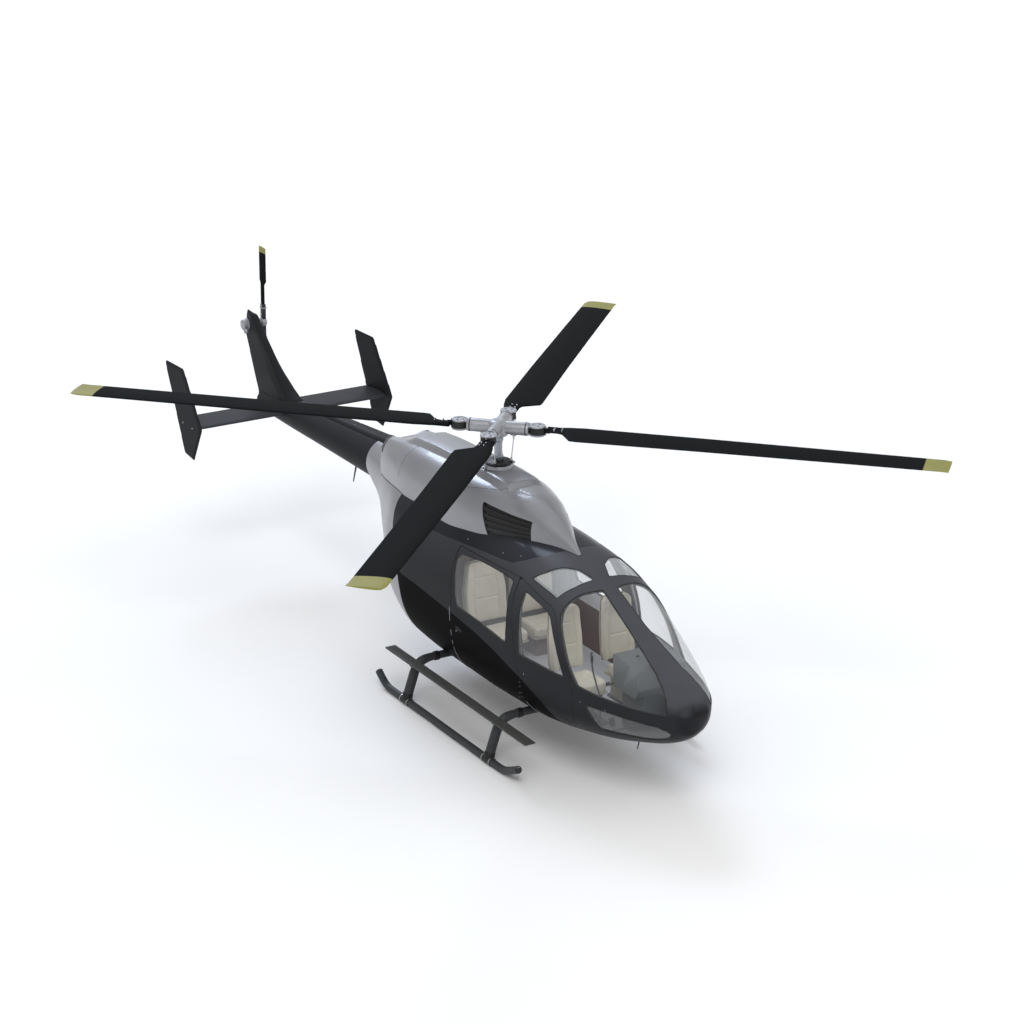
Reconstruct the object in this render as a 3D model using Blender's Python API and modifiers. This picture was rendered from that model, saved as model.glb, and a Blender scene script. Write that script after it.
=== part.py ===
# Light twin-engine helicopter, built in metres with +Z up.
# The nose points along -Y, the starboard side is -X and the skids stand on z = 0.
import math

import bmesh
import bpy
import numpy as np
from mathutils import Matrix, Vector

# driving dimensions
ROTOR_R = 5.64
ROTOR_Z = 3.54
BLADE_CHORD = 0.377
BLADES = 4
# the blade cuffs' axes from the mast, and half the cuffs' height
GRIP_R = 0.50
CUFF = 0.042
# the top of the cowl's deck at the mast
DECK_Z = 3.0182
TAIL_R = 1.11
TAIL_HUB = (0.20, 6.99, 3.04)
SKID_X = 1.27
SKID_R = 0.04
CROSS_R = 0.045
CROSS_Y = (0.12, -1.94)
CROSS_Z = 0.575
WALL = 0.035
GAP = 0.0004
DOOR_GAP = 0.006
FLOOR_Z = (0.66, 0.70)
GLASS_IN = (0.010, 0.016)
CABIN_END = 1.25
TAIL_START = 2.95
# the mast axis stands this far behind the middle of the whole machine's length
MAST_Y = -1.333

# the raised deck round the mast and the dip between the engine housings, on top of the cowl
DECK_RISE = 0.06
DECK_FRONT = (-0.70, -0.58)
DECK_BACK = (1.70, 1.95)
DECK_SIDE = (0.21, 0.29)
DIP_DEPTH = 0.09
DIP_Y = (1.75, 2.30)
DIP_SIDE = (0.08, 0.33)
COWL_WALL = 0.03
EXHAUST_X = 0.28
EXHAUST_Z = 2.60
EXHAUST_R = 0.085
# the intake grille's outline on the cowl's side as (y, z): upper back, upper front, lower front, lower back
GRILLE = [(-0.45, 2.78), (-1.25, 2.72), (-1.33, 2.45), (-0.72, 2.33)]
LOUVRES = 6
GROOVE_END = 0.02
# the two heavy masses under the cowl, as their half width, ends along y, and bottom and top
ENGINE = (0.36, (0.70, 1.70), (2.45, 2.72))
GEARBOX = (0.26, (-0.36, 0.36), (2.45, 2.88))
MAST_HOLE_R = 0.09

# rotor hub, its arms and the grips that hold the blades' cuffs
HUB_R = 0.125
HUB_RISE = (-0.11, 0.10)
ARM_R = 0.085
ARM_LENGTH = 0.40
CUFF_R = 0.10
EYE_R = 0.108
NECK = (0.52, 0.66)
NECK_R = 0.033
PLATE_R = (0.34, 0.52)
PLATE_HALF = 0.07
PLATE_THICK = 0.018
DISC_RISE = 0.022
MAST_R = 0.05
MAST_FOOT = 2.8804

# the two swashplates round the mast: radius, bottom and top, bore radius
FIXED_PLATE = (0.19, (DECK_Z + GAP, 3.058), 0.065)
TURNING_PLATE = (0.17, (3.065, 3.10), MAST_R + GAP)
EAR = (0.24, 0.025, 3.05)
LINK_R = 0.012
LINK_AT = (0.15, 0.20)

# seats: distance from the middle, back's front face, width, cushion top
FRONT_SEAT = (0.37, -2.34, 0.46, 1.18)
REAR_SEAT = (0.34, -0.36, 0.62, 1.10)
SEAT_FOOT = 0.13
STICK_R = 0.014
PANEL_SIDES = (-0.25, 0.45)
PEDESTAL_SIDES = (-0.12, 0.32)

# tail: fin, horizontal stabilizer with its end plates, and the tail rotor's drive
FIN_HALF = 0.055
STABILIZER_HALF = 1.49
STABILIZER_CHORD = 0.61
STABILIZER_AT = (5.66, 2.08)
PLATE_X = (1.4804, 1.5204)
TAIL_MAST_R = 0.045
TAIL_HUB_R = 0.065
YOKE = (0.03, 0.05, 0.27)
TAIL_CHORD = 0.21

# boarding steps: inner and outer edge, bottom and top, and the feet that straddle the cross tubes
STEP_X = (1.10, 1.22)
STEP_Z = (0.548, 0.573)
STEP_FOOT = (1.113, 1.205)

# hull sections: y, bottom z, widest z, top z, half width, exponent above, exponent below
BODY = [
    (-4.50, 1.27, 1.30, 1.33, 0.02, 2.0, 2.0),
    (-4.44, 1.07, 1.30, 1.46, 0.22, 2.1, 2.0),
    (-4.25, 0.91, 1.29, 1.58, 0.40, 2.3, 2.1),
    (-3.85, 0.76, 1.27, 1.74, 0.59, 2.5, 2.2),
    (-3.30, 0.62, 1.24, 1.97, 0.74, 2.7, 2.4),
    (-2.95, 0.56, 1.22, 2.13, 0.80, 2.8, 2.5),
    (-2.60, 0.51, 1.20, 2.29, 0.85, 2.9, 2.6),
    (-2.20, 0.47, 1.20, 2.42, 0.88, 2.9, 2.7),
    (-1.70, 0.45, 1.20, 2.50, 0.90, 2.8, 2.7),
    (-1.00, 0.42, 1.20, 2.54, 0.90, 2.8, 2.7),
    (0.00, 0.42, 1.22, 2.55, 0.90, 2.8, 2.7),
    (0.80, 0.46, 1.30, 2.55, 0.90, 2.8, 2.7),
    (1.40, 0.62, 1.48, 2.55, 0.84, 2.7, 2.6),
    (1.90, 0.98, 1.72, 2.55, 0.70, 2.5, 2.4),
    (2.40, 1.50, 2.00, 2.53, 0.50, 2.2, 2.2),
    (2.95, 1.84, 2.17, 2.50, 0.35, 2.0, 2.0),
]
COWL = [
    (-1.96, 2.40, 2.44, 2.475, 0.03, 2.0, 2.0),
    (-1.70, 2.30, 2.40, 2.63, 0.13, 2.0, 2.0),
    (-1.30, 2.20, 2.38, 2.84, 0.32, 2.1, 2.0),
    (-0.90, 2.15, 2.35, 2.94, 0.48, 2.3, 2.0),
    (-0.40, 2.10, 2.32, 2.96, 0.60, 2.6, 2.0),
    (0.30, 2.10, 2.30, 2.95, 0.66, 2.7, 2.0),
    (1.20, 2.10, 2.30, 2.92, 0.64, 2.7, 2.0),
    (2.00, 2.10, 2.30, 2.85, 0.54, 2.6, 2.0),
    (2.36, 2.10, 2.30, 2.81, 0.45, 2.5, 2.0),
]
BOOM = [
    (2.9504, 1.85, 2.17, 2.49, 0.34, 2.0, 2.0),
    (4.40, 1.93, 2.21, 2.48, 0.26, 2.1, 2.1),
    (6.10, 2.01, 2.22, 2.42, 0.19, 2.2, 2.2),
    (6.62, 2.06, 2.22, 2.38, 0.12, 2.2, 2.2),
]

# main blade sections: radius, chord, thickness ratio, leading edge ahead of the axis, twist in degrees
MAIN_BLADE = [
    (0.62, 0.13, 0.45, 0.065, 0), (0.80, 0.13, 0.40, 0.065, -8), (0.96, 0.16, 0.26, 0.08, -10),
    (1.04, 0.36, 0.13, 0.095, -10), (1.12, BLADE_CHORD, 0.12, 0.095, -9.5),
    (2.6, BLADE_CHORD, 0.12, 0.095, -6),
    (4.2, BLADE_CHORD, 0.12, 0.095, -3), (ROTOR_R - 0.10, BLADE_CHORD, 0.10, 0.095, -1),
    (ROTOR_R, BLADE_CHORD * 0.86, 0.08, 0.06, -1),
]

# window outlines on the starboard side as (y, angle round the section in degrees)
REAR_WINDOW = [(-0.348, 31.5), (-0.430, 36.4), (-0.827, 39.6), (-1.555, 41.8), (-1.622, 40.6),
               (-1.655, 27.2), (-1.690, 13.3), (-1.700, 5.2), (-1.650, 4.6), (-1.088, 5.7),
               (-0.505, 6.2), (-0.445, 9.5), (-0.400, 17.0)]
FRONT_WINDOW = [(-1.892, 40.4), (-2.390, 38.8), (-2.475, 37.2), (-2.560, 31.5), (-2.695, 22.0),
                (-2.800, 13.5), (-2.905, 5.4), (-2.454, 4.3), (-1.990, 3.4), (-1.958, 12.5),
                (-1.915, 25.9)]
WINDSHIELD = [(-2.592, 46.0), (-2.572, 52.5), (-2.583, 71.0), (-2.632, 87.6), (-3.227, 85.6),
              (-3.600, 82.1), (-3.942, 75.7), (-4.150, 64.0), (-4.274, 50.0), (-4.345, 30.0),
              (-4.365, 10.5), (-4.044, 6.1), (-3.458, 4.5), (-3.136, 4.7), (-2.984, 12.9),
              (-2.793, 27.4), (-2.661, 37.6)]
SKYLIGHT = [(-1.878, 51.2), (-1.985, 61.7), (-2.081, 76.5), (-2.218, 84.2), (-2.449, 87.4),
            (-2.459, 72.0), (-2.417, 52.6), (-2.150, 51.6)]
CHIN = [(-3.274, -4.0), (-3.520, -4.9), (-3.732, -6.1), (-4.050, -9.8), (-4.270, -15.8),
        (-4.350, -28.0), (-4.370, -41.0), (-4.300, -51.5), (-4.090, -47.0), (-3.827, -40.2),
        (-3.420, -34.0), (-3.360, -16.5)]

# door outlines on the side as (y, z); SEAM is the front door's back edge, from the top down
SEAM = [(-1.72, 2.235), (-1.765, 1.84), (-1.838, 1.635), (-1.908, 1.375), (-1.975, 1.23),
        (-2.03, 1.05), (-2.04, 0.80)]
FRONT_EDGE = [(-2.95, 0.80), (-3.05, 1.00), (-3.06, 1.24), (-2.985, 1.42), (-2.80, 1.68),
              (-2.66, 1.88), (-2.565, 2.01), (-2.44, 2.095), (-2.20, 2.15), (-1.90, 2.205)]
REAR_EDGE = [(-0.34, 2.20), (-0.325, 1.87), (-0.355, 1.60), (-0.385, 1.20), (-0.41, 0.85), (-0.46, 0.74)]
REAR_LOW = [(-1.96, 0.74)]
HINGE_R = 0.011
FRONT_HINGE_Z = (1.06, 1.19)
REAR_HINGE_Z = (0.86, 1.00)
HINGE_Z = 1.3

PAINT = {
    "charcoal": ((0.045, 0.047, 0.051), 0.35, 0.2),
    "silver": ((0.33, 0.34, 0.36), 0.35, 0.5),
    "black": ((0.012, 0.012, 0.013), 0.5, 0.0),
    "hub_metal": ((0.40, 0.40, 0.39), 0.35, 0.8),
    "dark_metal": ((0.04, 0.042, 0.045), 0.45, 0.6),
    "glass": ((0.75, 0.80, 0.82), 0.05, 0.0),
    "cream": ((0.42, 0.40, 0.32), 0.7, 0.0),
    "grey_trim": ((0.16, 0.17, 0.18), 0.6, 0.0),
    "carpet": ((0.10, 0.075, 0.065), 0.9, 0.0),
}


def clear_scene():
    for ob in list(bpy.data.objects):
        bpy.data.objects.remove(ob, do_unlink=True)


def make_material(name):
    rgb, rough, metal = PAINT[name]
    mat = bpy.data.materials.new(name)
    mat.use_nodes = True
    shader = mat.node_tree.nodes["Principled BSDF"]
    shader.inputs["Base Color"].default_value = (*rgb, 1.0)
    shader.inputs["Roughness"].default_value = rough
    shader.inputs["Metallic"].default_value = metal
    if name == "glass":
        shader.inputs["Alpha"].default_value = 0.35
    return mat


clear_scene()
PARTS = bpy.data.collections.new("helicopter")
CUTTERS = bpy.data.collections.new("cutters")
bpy.context.scene.collection.children.link(PARTS)
bpy.context.scene.collection.children.link(CUTTERS)
MATERIALS = {key: make_material(key) for key in PAINT}


def add(name, verts, faces, paint=None):
    """A mesh object: a part when it has a paint, otherwise a cutter."""
    mesh = bpy.data.meshes.new(name)
    mesh.from_pydata([tuple(v) for v in verts], [], faces)
    mesh.update()
    ob = bpy.data.objects.new(name, mesh)
    if paint is None:
        CUTTERS.objects.link(ob)
        ob.hide_render = True
        ob.display_type = "WIRE"
    else:
        PARTS.objects.link(ob)
        mesh.materials.append(MATERIALS[paint])
    return ob


def boolean(ob, tool, how="DIFFERENCE"):
    mod = ob.modifiers.new(how.lower(), "BOOLEAN")
    mod.operation = how
    mod.solver = "EXACT"
    mod.object = tool
    return ob


def bevel(ob, width, segments=2):
    mod = ob.modifiers.new("bevel", "BEVEL")
    mod.width = width
    mod.segments = segments
    mod.limit_method = "ANGLE"
    return ob


def smooth(ob):
    for poly in ob.data.polygons:
        poly.use_smooth = True
    return ob


def blend_rows(rows, y):
    """The section values at y, by a slope-limited cubic through the rows."""
    ys = [row[0] for row in rows]
    i = int(np.clip(np.searchsorted(ys, y) - 1, 0, len(ys) - 2))
    step = ys[i + 1] - ys[i]
    t = (y - ys[i]) / step
    values = []
    for k in range(1, 7):
        v = [row[k] for row in rows]
        rise = [(v[j + 1] - v[j]) / (ys[j + 1] - ys[j]) for j in range(len(ys) - 1)]

        def slope(j):
            if j == 0:
                return rise[0]
            if j == len(ys) - 1:
                return rise[-1]
            if rise[j - 1] * rise[j] <= 0:
                return 0.0
            return 2 * rise[j - 1] * rise[j] / (rise[j - 1] + rise[j])

        a = (2 * t**3 - 3 * t**2 + 1) * v[i] + (-2 * t**3 + 3 * t**2) * v[i + 1]
        b = (t**3 - 2 * t**2 + t) * slope(i) + (t**3 - t**2) * slope(i + 1)
        values.append(a + step * b)
    return values


def on_section(rows, y, degrees, inset=0.0):
    """A point on the hull: 0 degrees is the widest point to port, 90 is the top."""
    zb, zc, zt, w, up, low = blend_rows(rows, y)
    c = math.cos(math.radians(degrees))
    s = math.sin(math.radians(degrees))
    power = 2 / (up if s >= 0 else low)
    height = (zt - zc if s >= 0 else zc - zb) - inset
    x = (w - inset) * math.copysign(abs(c) ** power, c)
    z = zc + height * math.copysign(abs(s) ** power, s)
    return Vector((x, y, z))


def ramp(value, low, high):
    """Rises smoothly from 0 at low to 1 at high."""
    t = min(1.0, max(0.0, (value - low) / (high - low)))
    return t * t * (3 - 2 * t)


def on_cowl(rows, y, degrees, inset=0.0):
    """The cowl's section with its raised deck and the dip between the engine housings."""
    p = on_section(rows, y, degrees, inset)
    if 0 < degrees % 360 < 180:
        away = abs(p.x)
        deck = ramp(y, *DECK_FRONT) * (1 - ramp(y, *DECK_BACK)) * (1 - ramp(away, *DECK_SIDE))
        dip = ramp(y, *DIP_Y) * (1 - ramp(away, *DIP_SIDE))
        p.z += DECK_RISE * deck - DIP_DEPTH * dip
    return p


def even_angles(count):
    return [360 * k / count for k in range(count)]


def ring(rows, y, inset, angles, shape):
    return [shape(rows, y, degrees, inset) for degrees in angles]


HULL_ANGLES = even_angles(24)
BOOM_ANGLES = even_angles(20)
# closer together where the deck's edge and the shoulders are
UPPER_COWL = [0, 15, 30, 43, 53, 61, 66, 70, 73, 77, 83]
COWL_ANGLES = UPPER_COWL + [90] + [180 - a for a in reversed(UPPER_COWL)] + [205, 235, 270, 305, 335]
COWL_YS = [-1.96, -1.83, -1.66, -1.46, -1.25, -1.05, -0.85, -0.71, -0.62, -0.56, -0.25, 0.15]
COWL_YS += [0.65, 1.20, 1.68, 1.84, 1.98, 2.18, 2.36]


def stations(y0, y1, step):
    count = max(1, round((y1 - y0) / step))
    return [y0 + (y1 - y0) * k / count for k in range(count + 1)]


def hull_stations(y0, y1):
    """Closer together at the nose, where the hull curves most."""
    marks = [-4.50, -4.475, -4.42, -4.32, -4.16, -3.94, -3.66, -3.34, -3.00, -2.66, -2.32, -1.95, -1.50]
    marks += [-0.80, 0.0, 0.55, 0.95, 1.25, 1.60, 1.95, 2.30, 2.62, 2.95]
    return [y0] + [y for y in marks if y0 + 0.012 < y < y1 - 0.012] + [y1]


def bridge(a, b, count):
    """Pairs of triangles between two rings that start at vertices a and b."""
    faces = []
    for k in range(count):
        after = (k + 1) % count
        faces += [(a + k, b + k, b + after), (a + k, b + after, a + after)]
    return faces


def solid_loft(name, rows, ys, inset=0.0, paint=None, angles=HULL_ANGLES, shape=on_section):
    count = len(angles)
    verts = []
    faces = []
    for y in ys:
        verts += ring(rows, y, inset, angles, shape)
    for i in range(len(ys) - 1):
        faces += bridge(i * count, (i + 1) * count, count)
    faces.append(tuple(range(count)))
    last = (len(ys) - 1) * count
    faces.append(tuple(last + k for k in reversed(range(count))))
    return smooth(add(name, verts, faces, paint))


def tube_loft(name, rows, ys, outer, inner, paint=None, nose=None, angles=HULL_ANGLES, shape=on_section):
    """A skin between two insets. With a nose y, the front is closed behind that y."""
    count = len(angles)
    inner_ys = ys if nose is None else [nose] + [y for y in ys if y > nose + 0.012]
    verts = []
    faces = []
    for y in ys:
        verts += ring(rows, y, outer, angles, shape)
    base = len(verts)
    for y in inner_ys:
        verts += ring(rows, y, inner, angles, shape)
    for i in range(len(ys) - 1):
        faces += bridge(i * count, (i + 1) * count, count)
    for i in range(len(inner_ys) - 1):
        faces += [f[::-1] for f in bridge(base + i * count, base + (i + 1) * count, count)]
    out_end = (len(ys) - 1) * count
    in_end = base + (len(inner_ys) - 1) * count
    faces += bridge(out_end, in_end, count)
    if nose is None:
        faces += [f[::-1] for f in bridge(0, base, count)]
    else:
        faces.append(tuple(range(count)))
        faces.append(tuple(base + k for k in reversed(range(count))))
    return smooth(add(name, verts, faces, paint))


def add_bmesh(name, bm, paint=None, place=None):
    """The object for a bmesh, with its faces turned out."""
    bmesh.ops.remove_doubles(bm, verts=bm.verts, dist=1e-5)
    bmesh.ops.recalc_face_normals(bm, faces=bm.faces)
    ob = add(name, [], [], paint)
    if place is not None:
        bm.transform(place)
    bm.to_mesh(ob.data)
    bm.free()
    return ob


def box(name, low, high, paint=None):
    size = Vector(high) - Vector(low)
    middle = (Vector(high) + Vector(low)) / 2
    bm = bmesh.new()
    bmesh.ops.create_cube(bm, size=1.0, matrix=Matrix.Translation(middle) @ Matrix.Diagonal((*size, 1.0)))
    return add_bmesh(name, bm, paint)


def rod(name, a, b, radius, paint=None, count=20, radius_b=None):
    """A cylinder or cone from point a to point b."""
    a = Vector(a)
    b = Vector(b)
    place = Matrix.Translation((a + b) / 2) @ (b - a).to_track_quat("Z", "Y").to_matrix().to_4x4()
    bm = bmesh.new()
    bmesh.ops.create_cone(bm, cap_ends=True, segments=count, radius1=radius,
                          radius2=radius if radius_b is None else radius_b,
                          depth=(b - a).length, matrix=place)
    return smooth(add_bmesh(name, bm, paint))


def mesh_of_curve(name, curve, paint=None, place=None):
    """Turn a curve into a closed mesh object, so that it can be cut or can cut."""
    guide = bpy.data.objects.new(name + "_curve", curve)
    bpy.context.scene.collection.objects.link(guide)
    graph = bpy.context.evaluated_depsgraph_get()
    mesh = bpy.data.meshes.new_from_object(guide.evaluated_get(graph))
    bm = bmesh.new()
    bm.from_mesh(mesh)
    bpy.data.objects.remove(guide)
    bpy.data.meshes.remove(mesh)
    return add_bmesh(name, bm, paint, place)


def polyline(curve, points, closed=False):
    spline = curve.splines.new("POLY")
    spline.points.add(len(points) - 1)
    for target, p in zip(spline.points, points):
        target.co = (*p, 1.0)
    spline.use_cyclic_u = closed


def prism(name, outline, low, high, axis, paint=None):
    """A flat outline pushed from low to high: (y, z) points along x, or (x, y) points along z."""
    curve = bpy.data.curves.new(name, "CURVE")
    curve.dimensions = "2D"
    curve.fill_mode = "BOTH"
    curve.extrude = (high - low) / 2
    polyline(curve, [(a, b, 0.0) for a, b in outline], closed=True)
    middle = (low + high) / 2
    if axis == "x":
        turn = Matrix(((0, 0, 1), (1, 0, 0), (0, 1, 0))).to_4x4()
        return mesh_of_curve(name, curve, paint, Matrix.Translation((middle, 0, 0)) @ turn)
    return mesh_of_curve(name, curve, paint, Matrix.Translation((0, 0, middle)))


def sweep(name, path, radius, paint=None, resolution=4):
    """A round tube along a path, with twice the resolution plus four sides."""
    curve = bpy.data.curves.new(name, "CURVE")
    curve.dimensions = "3D"
    curve.bevel_depth = radius
    curve.bevel_resolution = resolution
    curve.use_fill_caps = True
    polyline(curve, path)
    return smooth(mesh_of_curve(name, curve, paint))


def mirror_side(side, points):
    """Outlines are written for starboard, side -1. Port is side +1."""
    return [Vector((side * abs(p.x), p.y, p.z)) for p in points]


def window_cutter(name, outline, side, shrink=0.0):
    """A cone frustum from a point inside the cabin through a window's outline."""
    points = mirror_side(side, [on_section(BODY, y, t) for y, t in outline])
    middle = sum(points, Vector()) / len(points)
    points = [middle + (p - middle) * (1 - shrink) for p in points]
    eye = Vector((middle.x * 0.1, middle.y * 0.75 - 0.6, 1.40))
    n = len(points)
    near = [eye + (p - eye) * 0.72 for p in points]
    far = [eye + (p - eye) * 1.35 for p in points]
    verts = near + far + [eye + (middle - eye) * 0.66, eye + (middle - eye) * 1.7]
    faces = [(k, (k + 1) % n, n + (k + 1) % n, n + k) for k in range(n)]
    faces += [((k + 1) % n, k, 2 * n) for k in range(n)]
    faces += [(n + k, n + (k + 1) % n, 2 * n + 1) for k in range(n)]
    ob = add(name, verts, faces)
    return face_out(ob)


def face_out(ob):
    """Turn a closed mesh's faces out when its volume comes out negative."""
    volume = 0.0
    mesh = ob.data
    for poly in mesh.polygons:
        ids = list(poly.vertices)
        for k in range(1, len(ids) - 1):
            a, b, c = (mesh.vertices[ids[j]].co for j in (0, k, k + 1))
            volume += a.dot(b.cross(c))
    if volume < 0:
        mesh.flip_normals()
    return ob


def grow(outline, amount):
    """Offset a side-view outline outwards by the amount."""
    n = len(outline)
    area = sum(outline[k][0] * outline[(k + 1) % n][1] - outline[(k + 1) % n][0] * outline[k][1]
               for k in range(n))
    sign = 1 if area > 0 else -1
    result = []
    for k in range(n):
        p = Vector(outline[k])
        a = (p - Vector(outline[k - 1])).normalized()
        b = (Vector(outline[(k + 1) % n]) - p).normalized()
        na = Vector((a.y, -a.x)) * sign
        nb = Vector((b.y, -b.x)) * sign
        out = (na + nb).normalized()
        result.append(tuple(p + out * amount / max(0.5, out.dot(na))))
    return result


def door_hinge(outline, side):
    """The upright hinge axis at the outermost point of a door's front edge."""
    front = min(outline)
    x, y = 0.0, front[0]
    for degrees in range(-20, 30):
        x = max(x, abs(on_section(BODY, y, degrees).x))
    return side * (x + 0.001), y


def half_width(y, z):
    """The hull's half width at a height."""
    zb, zc, zt, w, up, low = blend_rows(BODY, y)
    reach = (z - zc) / (zt - zc) if z > zc else (zc - z) / (zc - zb)
    power = up if z > zc else low
    return w * max(0.0, 1 - min(1.0, reach) ** power) ** (1 / power)


def swing_out(outline, y, z):
    """How far back a door's inner corner at (y, z) reaches as the door swings open."""
    hinge_x = abs(door_hinge(outline, 1)[0])
    inboard = max(0.0, hinge_x - half_width(y, z) + WALL * 1.5)
    behind = y - outline_front(outline)
    return math.hypot(inboard, behind) - behind


def outline_front(outline):
    return min(p[0] for p in outline)


def outline_length(outline):
    return max(p[0] for p in outline) - outline_front(outline)


def x_range(side, inner=0.45, outer=1.2):
    return (inner, outer) if side > 0 else (-outer, -inner)


SIDES = {"right": -1, "left": 1}
BOOM_YS = stations(BOOM[0][0], BOOM[-1][0], 0.92)
GROWN_HULL = solid_loft("grown_hull", BODY, hull_stations(-4.50, TAIL_START), -GAP)
GROWN_BOOM = solid_loft("grown_boom", BOOM, BOOM_YS, -GAP, None, BOOM_ANGLES)
FRONT_DOOR = FRONT_EDGE + SEAM
FAR_SEAM = [(y + DOOR_GAP + swing_out(FRONT_DOOR, y, z), z) for y, z in SEAM]
REAR_DOOR = FAR_SEAM[::-1] + REAR_EDGE + REAR_LOW
DOORS = {"front_door": (FRONT_DOOR, FRONT_WINDOW), "rear_door": (REAR_DOOR, REAR_WINDOW)}


def doorway():
    """One opening in the hull for both doors of a side."""
    back = [(y + swing_out(REAR_DOOR, y, z), z) for y, z in REAR_EDGE]
    return grow(FRONT_EDGE + [SEAM[0]] + back + REAR_LOW + [(-2.03, 0.80)], DOOR_GAP)


def build_hull():
    ys = hull_stations(-4.50, CABIN_END)
    shell = tube_loft("cabin_shell", BODY, ys, 0.0, WALL, "charcoal", nose=-4.445)
    aft_ys = hull_stations(CABIN_END + GAP, TAIL_START)
    aft = tube_loft("aft_fuselage", BODY, aft_ys, 0.0, 0.03, "silver")
    for side_name, side in SIDES.items():
        for name, outline in (("windshield", WINDSHIELD), ("skylight", SKYLIGHT), ("chin_window", CHIN)):
            boolean(shell, window_cutter(f"cut_{name}_{side_name}", outline, side))
            build_pane(f"{name}_{side_name}", outline, side)
        low, high = x_range(side)
        boolean(shell, prism(f"cut_doorway_{side_name}", doorway(), low, high, "x"))
        pillar = build_pillar(f"door_pillar_{side_name}", side)
        doors = {}
        for name, (outline, window) in DOORS.items():
            doors[name] = build_door(f"{name}_{side_name}", outline, window, side)
            build_pane(f"{name}_window_{side_name}", window, side)
        for z in FRONT_HINGE_Z:
            build_hinge(doors["front_door"], shell, door_hinge(FRONT_DOOR, side), z, side, 0.03, 0.0)
        for z in REAR_HINGE_Z:
            x, y = door_hinge(REAR_DOOR, side)
            build_hinge(doors["rear_door"], pillar, (x, y), z, side, 0.012, 0.055)
            notch = sorted((x - side * 0.13, x + side * 0.09))
            low_corner = (notch[0], y - 0.020, z - 0.042)
            notch = box(f"notch_{side_name}_{z}", low_corner, (notch[1], y + 0.03, z + 0.042))
            boolean(doors["front_door"], notch)
    for k, y in enumerate(CROSS_Y):
        hole = rod(f"cut_cross_{k}", (-1.0, y, CROSS_Z), (1.0, y, CROSS_Z), CROSS_R + 0.001, count=20)
        boolean(shell, hole)
    return shell, aft


def build_pane(name, outline, side):
    ys = [p[0] for p in outline]
    span = hull_stations(max(-4.46, min(ys) - 0.08), max(ys) + 0.08)
    pane = tube_loft(name, BODY, span, GLASS_IN[0], GLASS_IN[1], "glass")
    boolean(pane, window_cutter(f"trim_{name}", outline, side, shrink=0.0016), "INTERSECT")
    return pane


def build_door(name, outline, window, side):
    front = outline_front(outline)
    span = hull_stations(front - 0.05, front + outline_length(outline) + 0.05)
    door = tube_loft(name, BODY, span, 0.0, WALL, "charcoal")
    low, high = x_range(side)
    boolean(door, prism(f"shape_{name}", outline, low, high, "x"), "INTERSECT")
    boolean(door, window_cutter(f"cut_{name}_window", window, side))
    return door


def build_hinge(door, frame, axis, z, side, forward, inboard):
    """A pin hinge: the door's knuckle between two of the frame's, each on its own short web."""
    x, y = axis
    key = f"{door.name}_{z}"
    tall = 0.018
    root = side * (half_width(y, z - tall) - 0.018)
    outer = x - side * 0.002
    knuckle = rod(f"knuckle_{key}", (x, y, z - tall), (x, y, z + tall), HINGE_R, None, 12)
    web = sorted((root, outer))
    leaf = box(f"leaf_{key}", (web[0], y + 0.0002, z - tall), (web[1], y + 0.03, z + tall))
    bore = HINGE_R + 0.0008
    boolean(frame, rod(f"room_{key}", (x, y, z - tall - GAP), (x, y, z + tall + GAP), bore, None, 12))
    web = sorted((root - side * 0.001, x + side * 0.02))
    low = (web[0], y - GAP, z - tall - GAP)
    boolean(frame, box(f"space_{key}", low, (web[1], y + 0.035, z + tall + GAP)))
    for sign in (-1, 1):
        ends = sorted((z + sign * (tall + GAP), z + sign * (tall + 0.018)))
        part_key = f"{key}_{sign}"
        room = rod(f"room_{part_key}", (x, y, ends[0] - GAP), (x, y, ends[1] + GAP), bore, None, 12)
        boolean(door, room)
        pin = rod(f"knuckle_{part_key}", (x, y, ends[0]), (x, y, ends[1]), HINGE_R, None, 12)
        boolean(frame, pin, "UNION")
        web = sorted((root - side * inboard, outer))
        web = box(f"web_{part_key}", (web[0], y - forward, ends[0]), (web[1], y - 0.0002, ends[1]))
        boolean(frame, web, "UNION")
    boolean(door, knuckle, "UNION")
    boolean(door, leaf, "UNION")


def build_pillar(name, side):
    """The post behind the seam between the doors, from the floor to the roof rail."""
    strip = [(-2.10, FLOOR_Z[1] + GAP), (-1.92, FLOOR_Z[1] + GAP), (-1.92, 1.05), (-1.80, 1.38),
             (-1.68, 1.84), (-1.62, 2.32), (-1.78, 2.32), (-1.86, 1.84), (-1.98, 1.38), (-2.10, 1.05)]
    post = tube_loft(name, BODY, hull_stations(-2.3, -1.4), WALL + GAP, WALL + 0.045, "charcoal")
    low, high = x_range(side)
    boolean(post, prism(f"shape_{name}", strip, low, high, "x"), "INTERSECT")
    relief = tube_loft(f"relief_{name}", BODY, hull_stations(-2.4, -1.3), -0.01, WALL + DOOR_GAP)
    opening = prism(f"relief_shape_{name}", grow(doorway(), 0.004), low - 0.1, high + 0.1, "x")
    boolean(relief, opening, "INTERSECT")
    boolean(post, relief)
    return post


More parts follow.
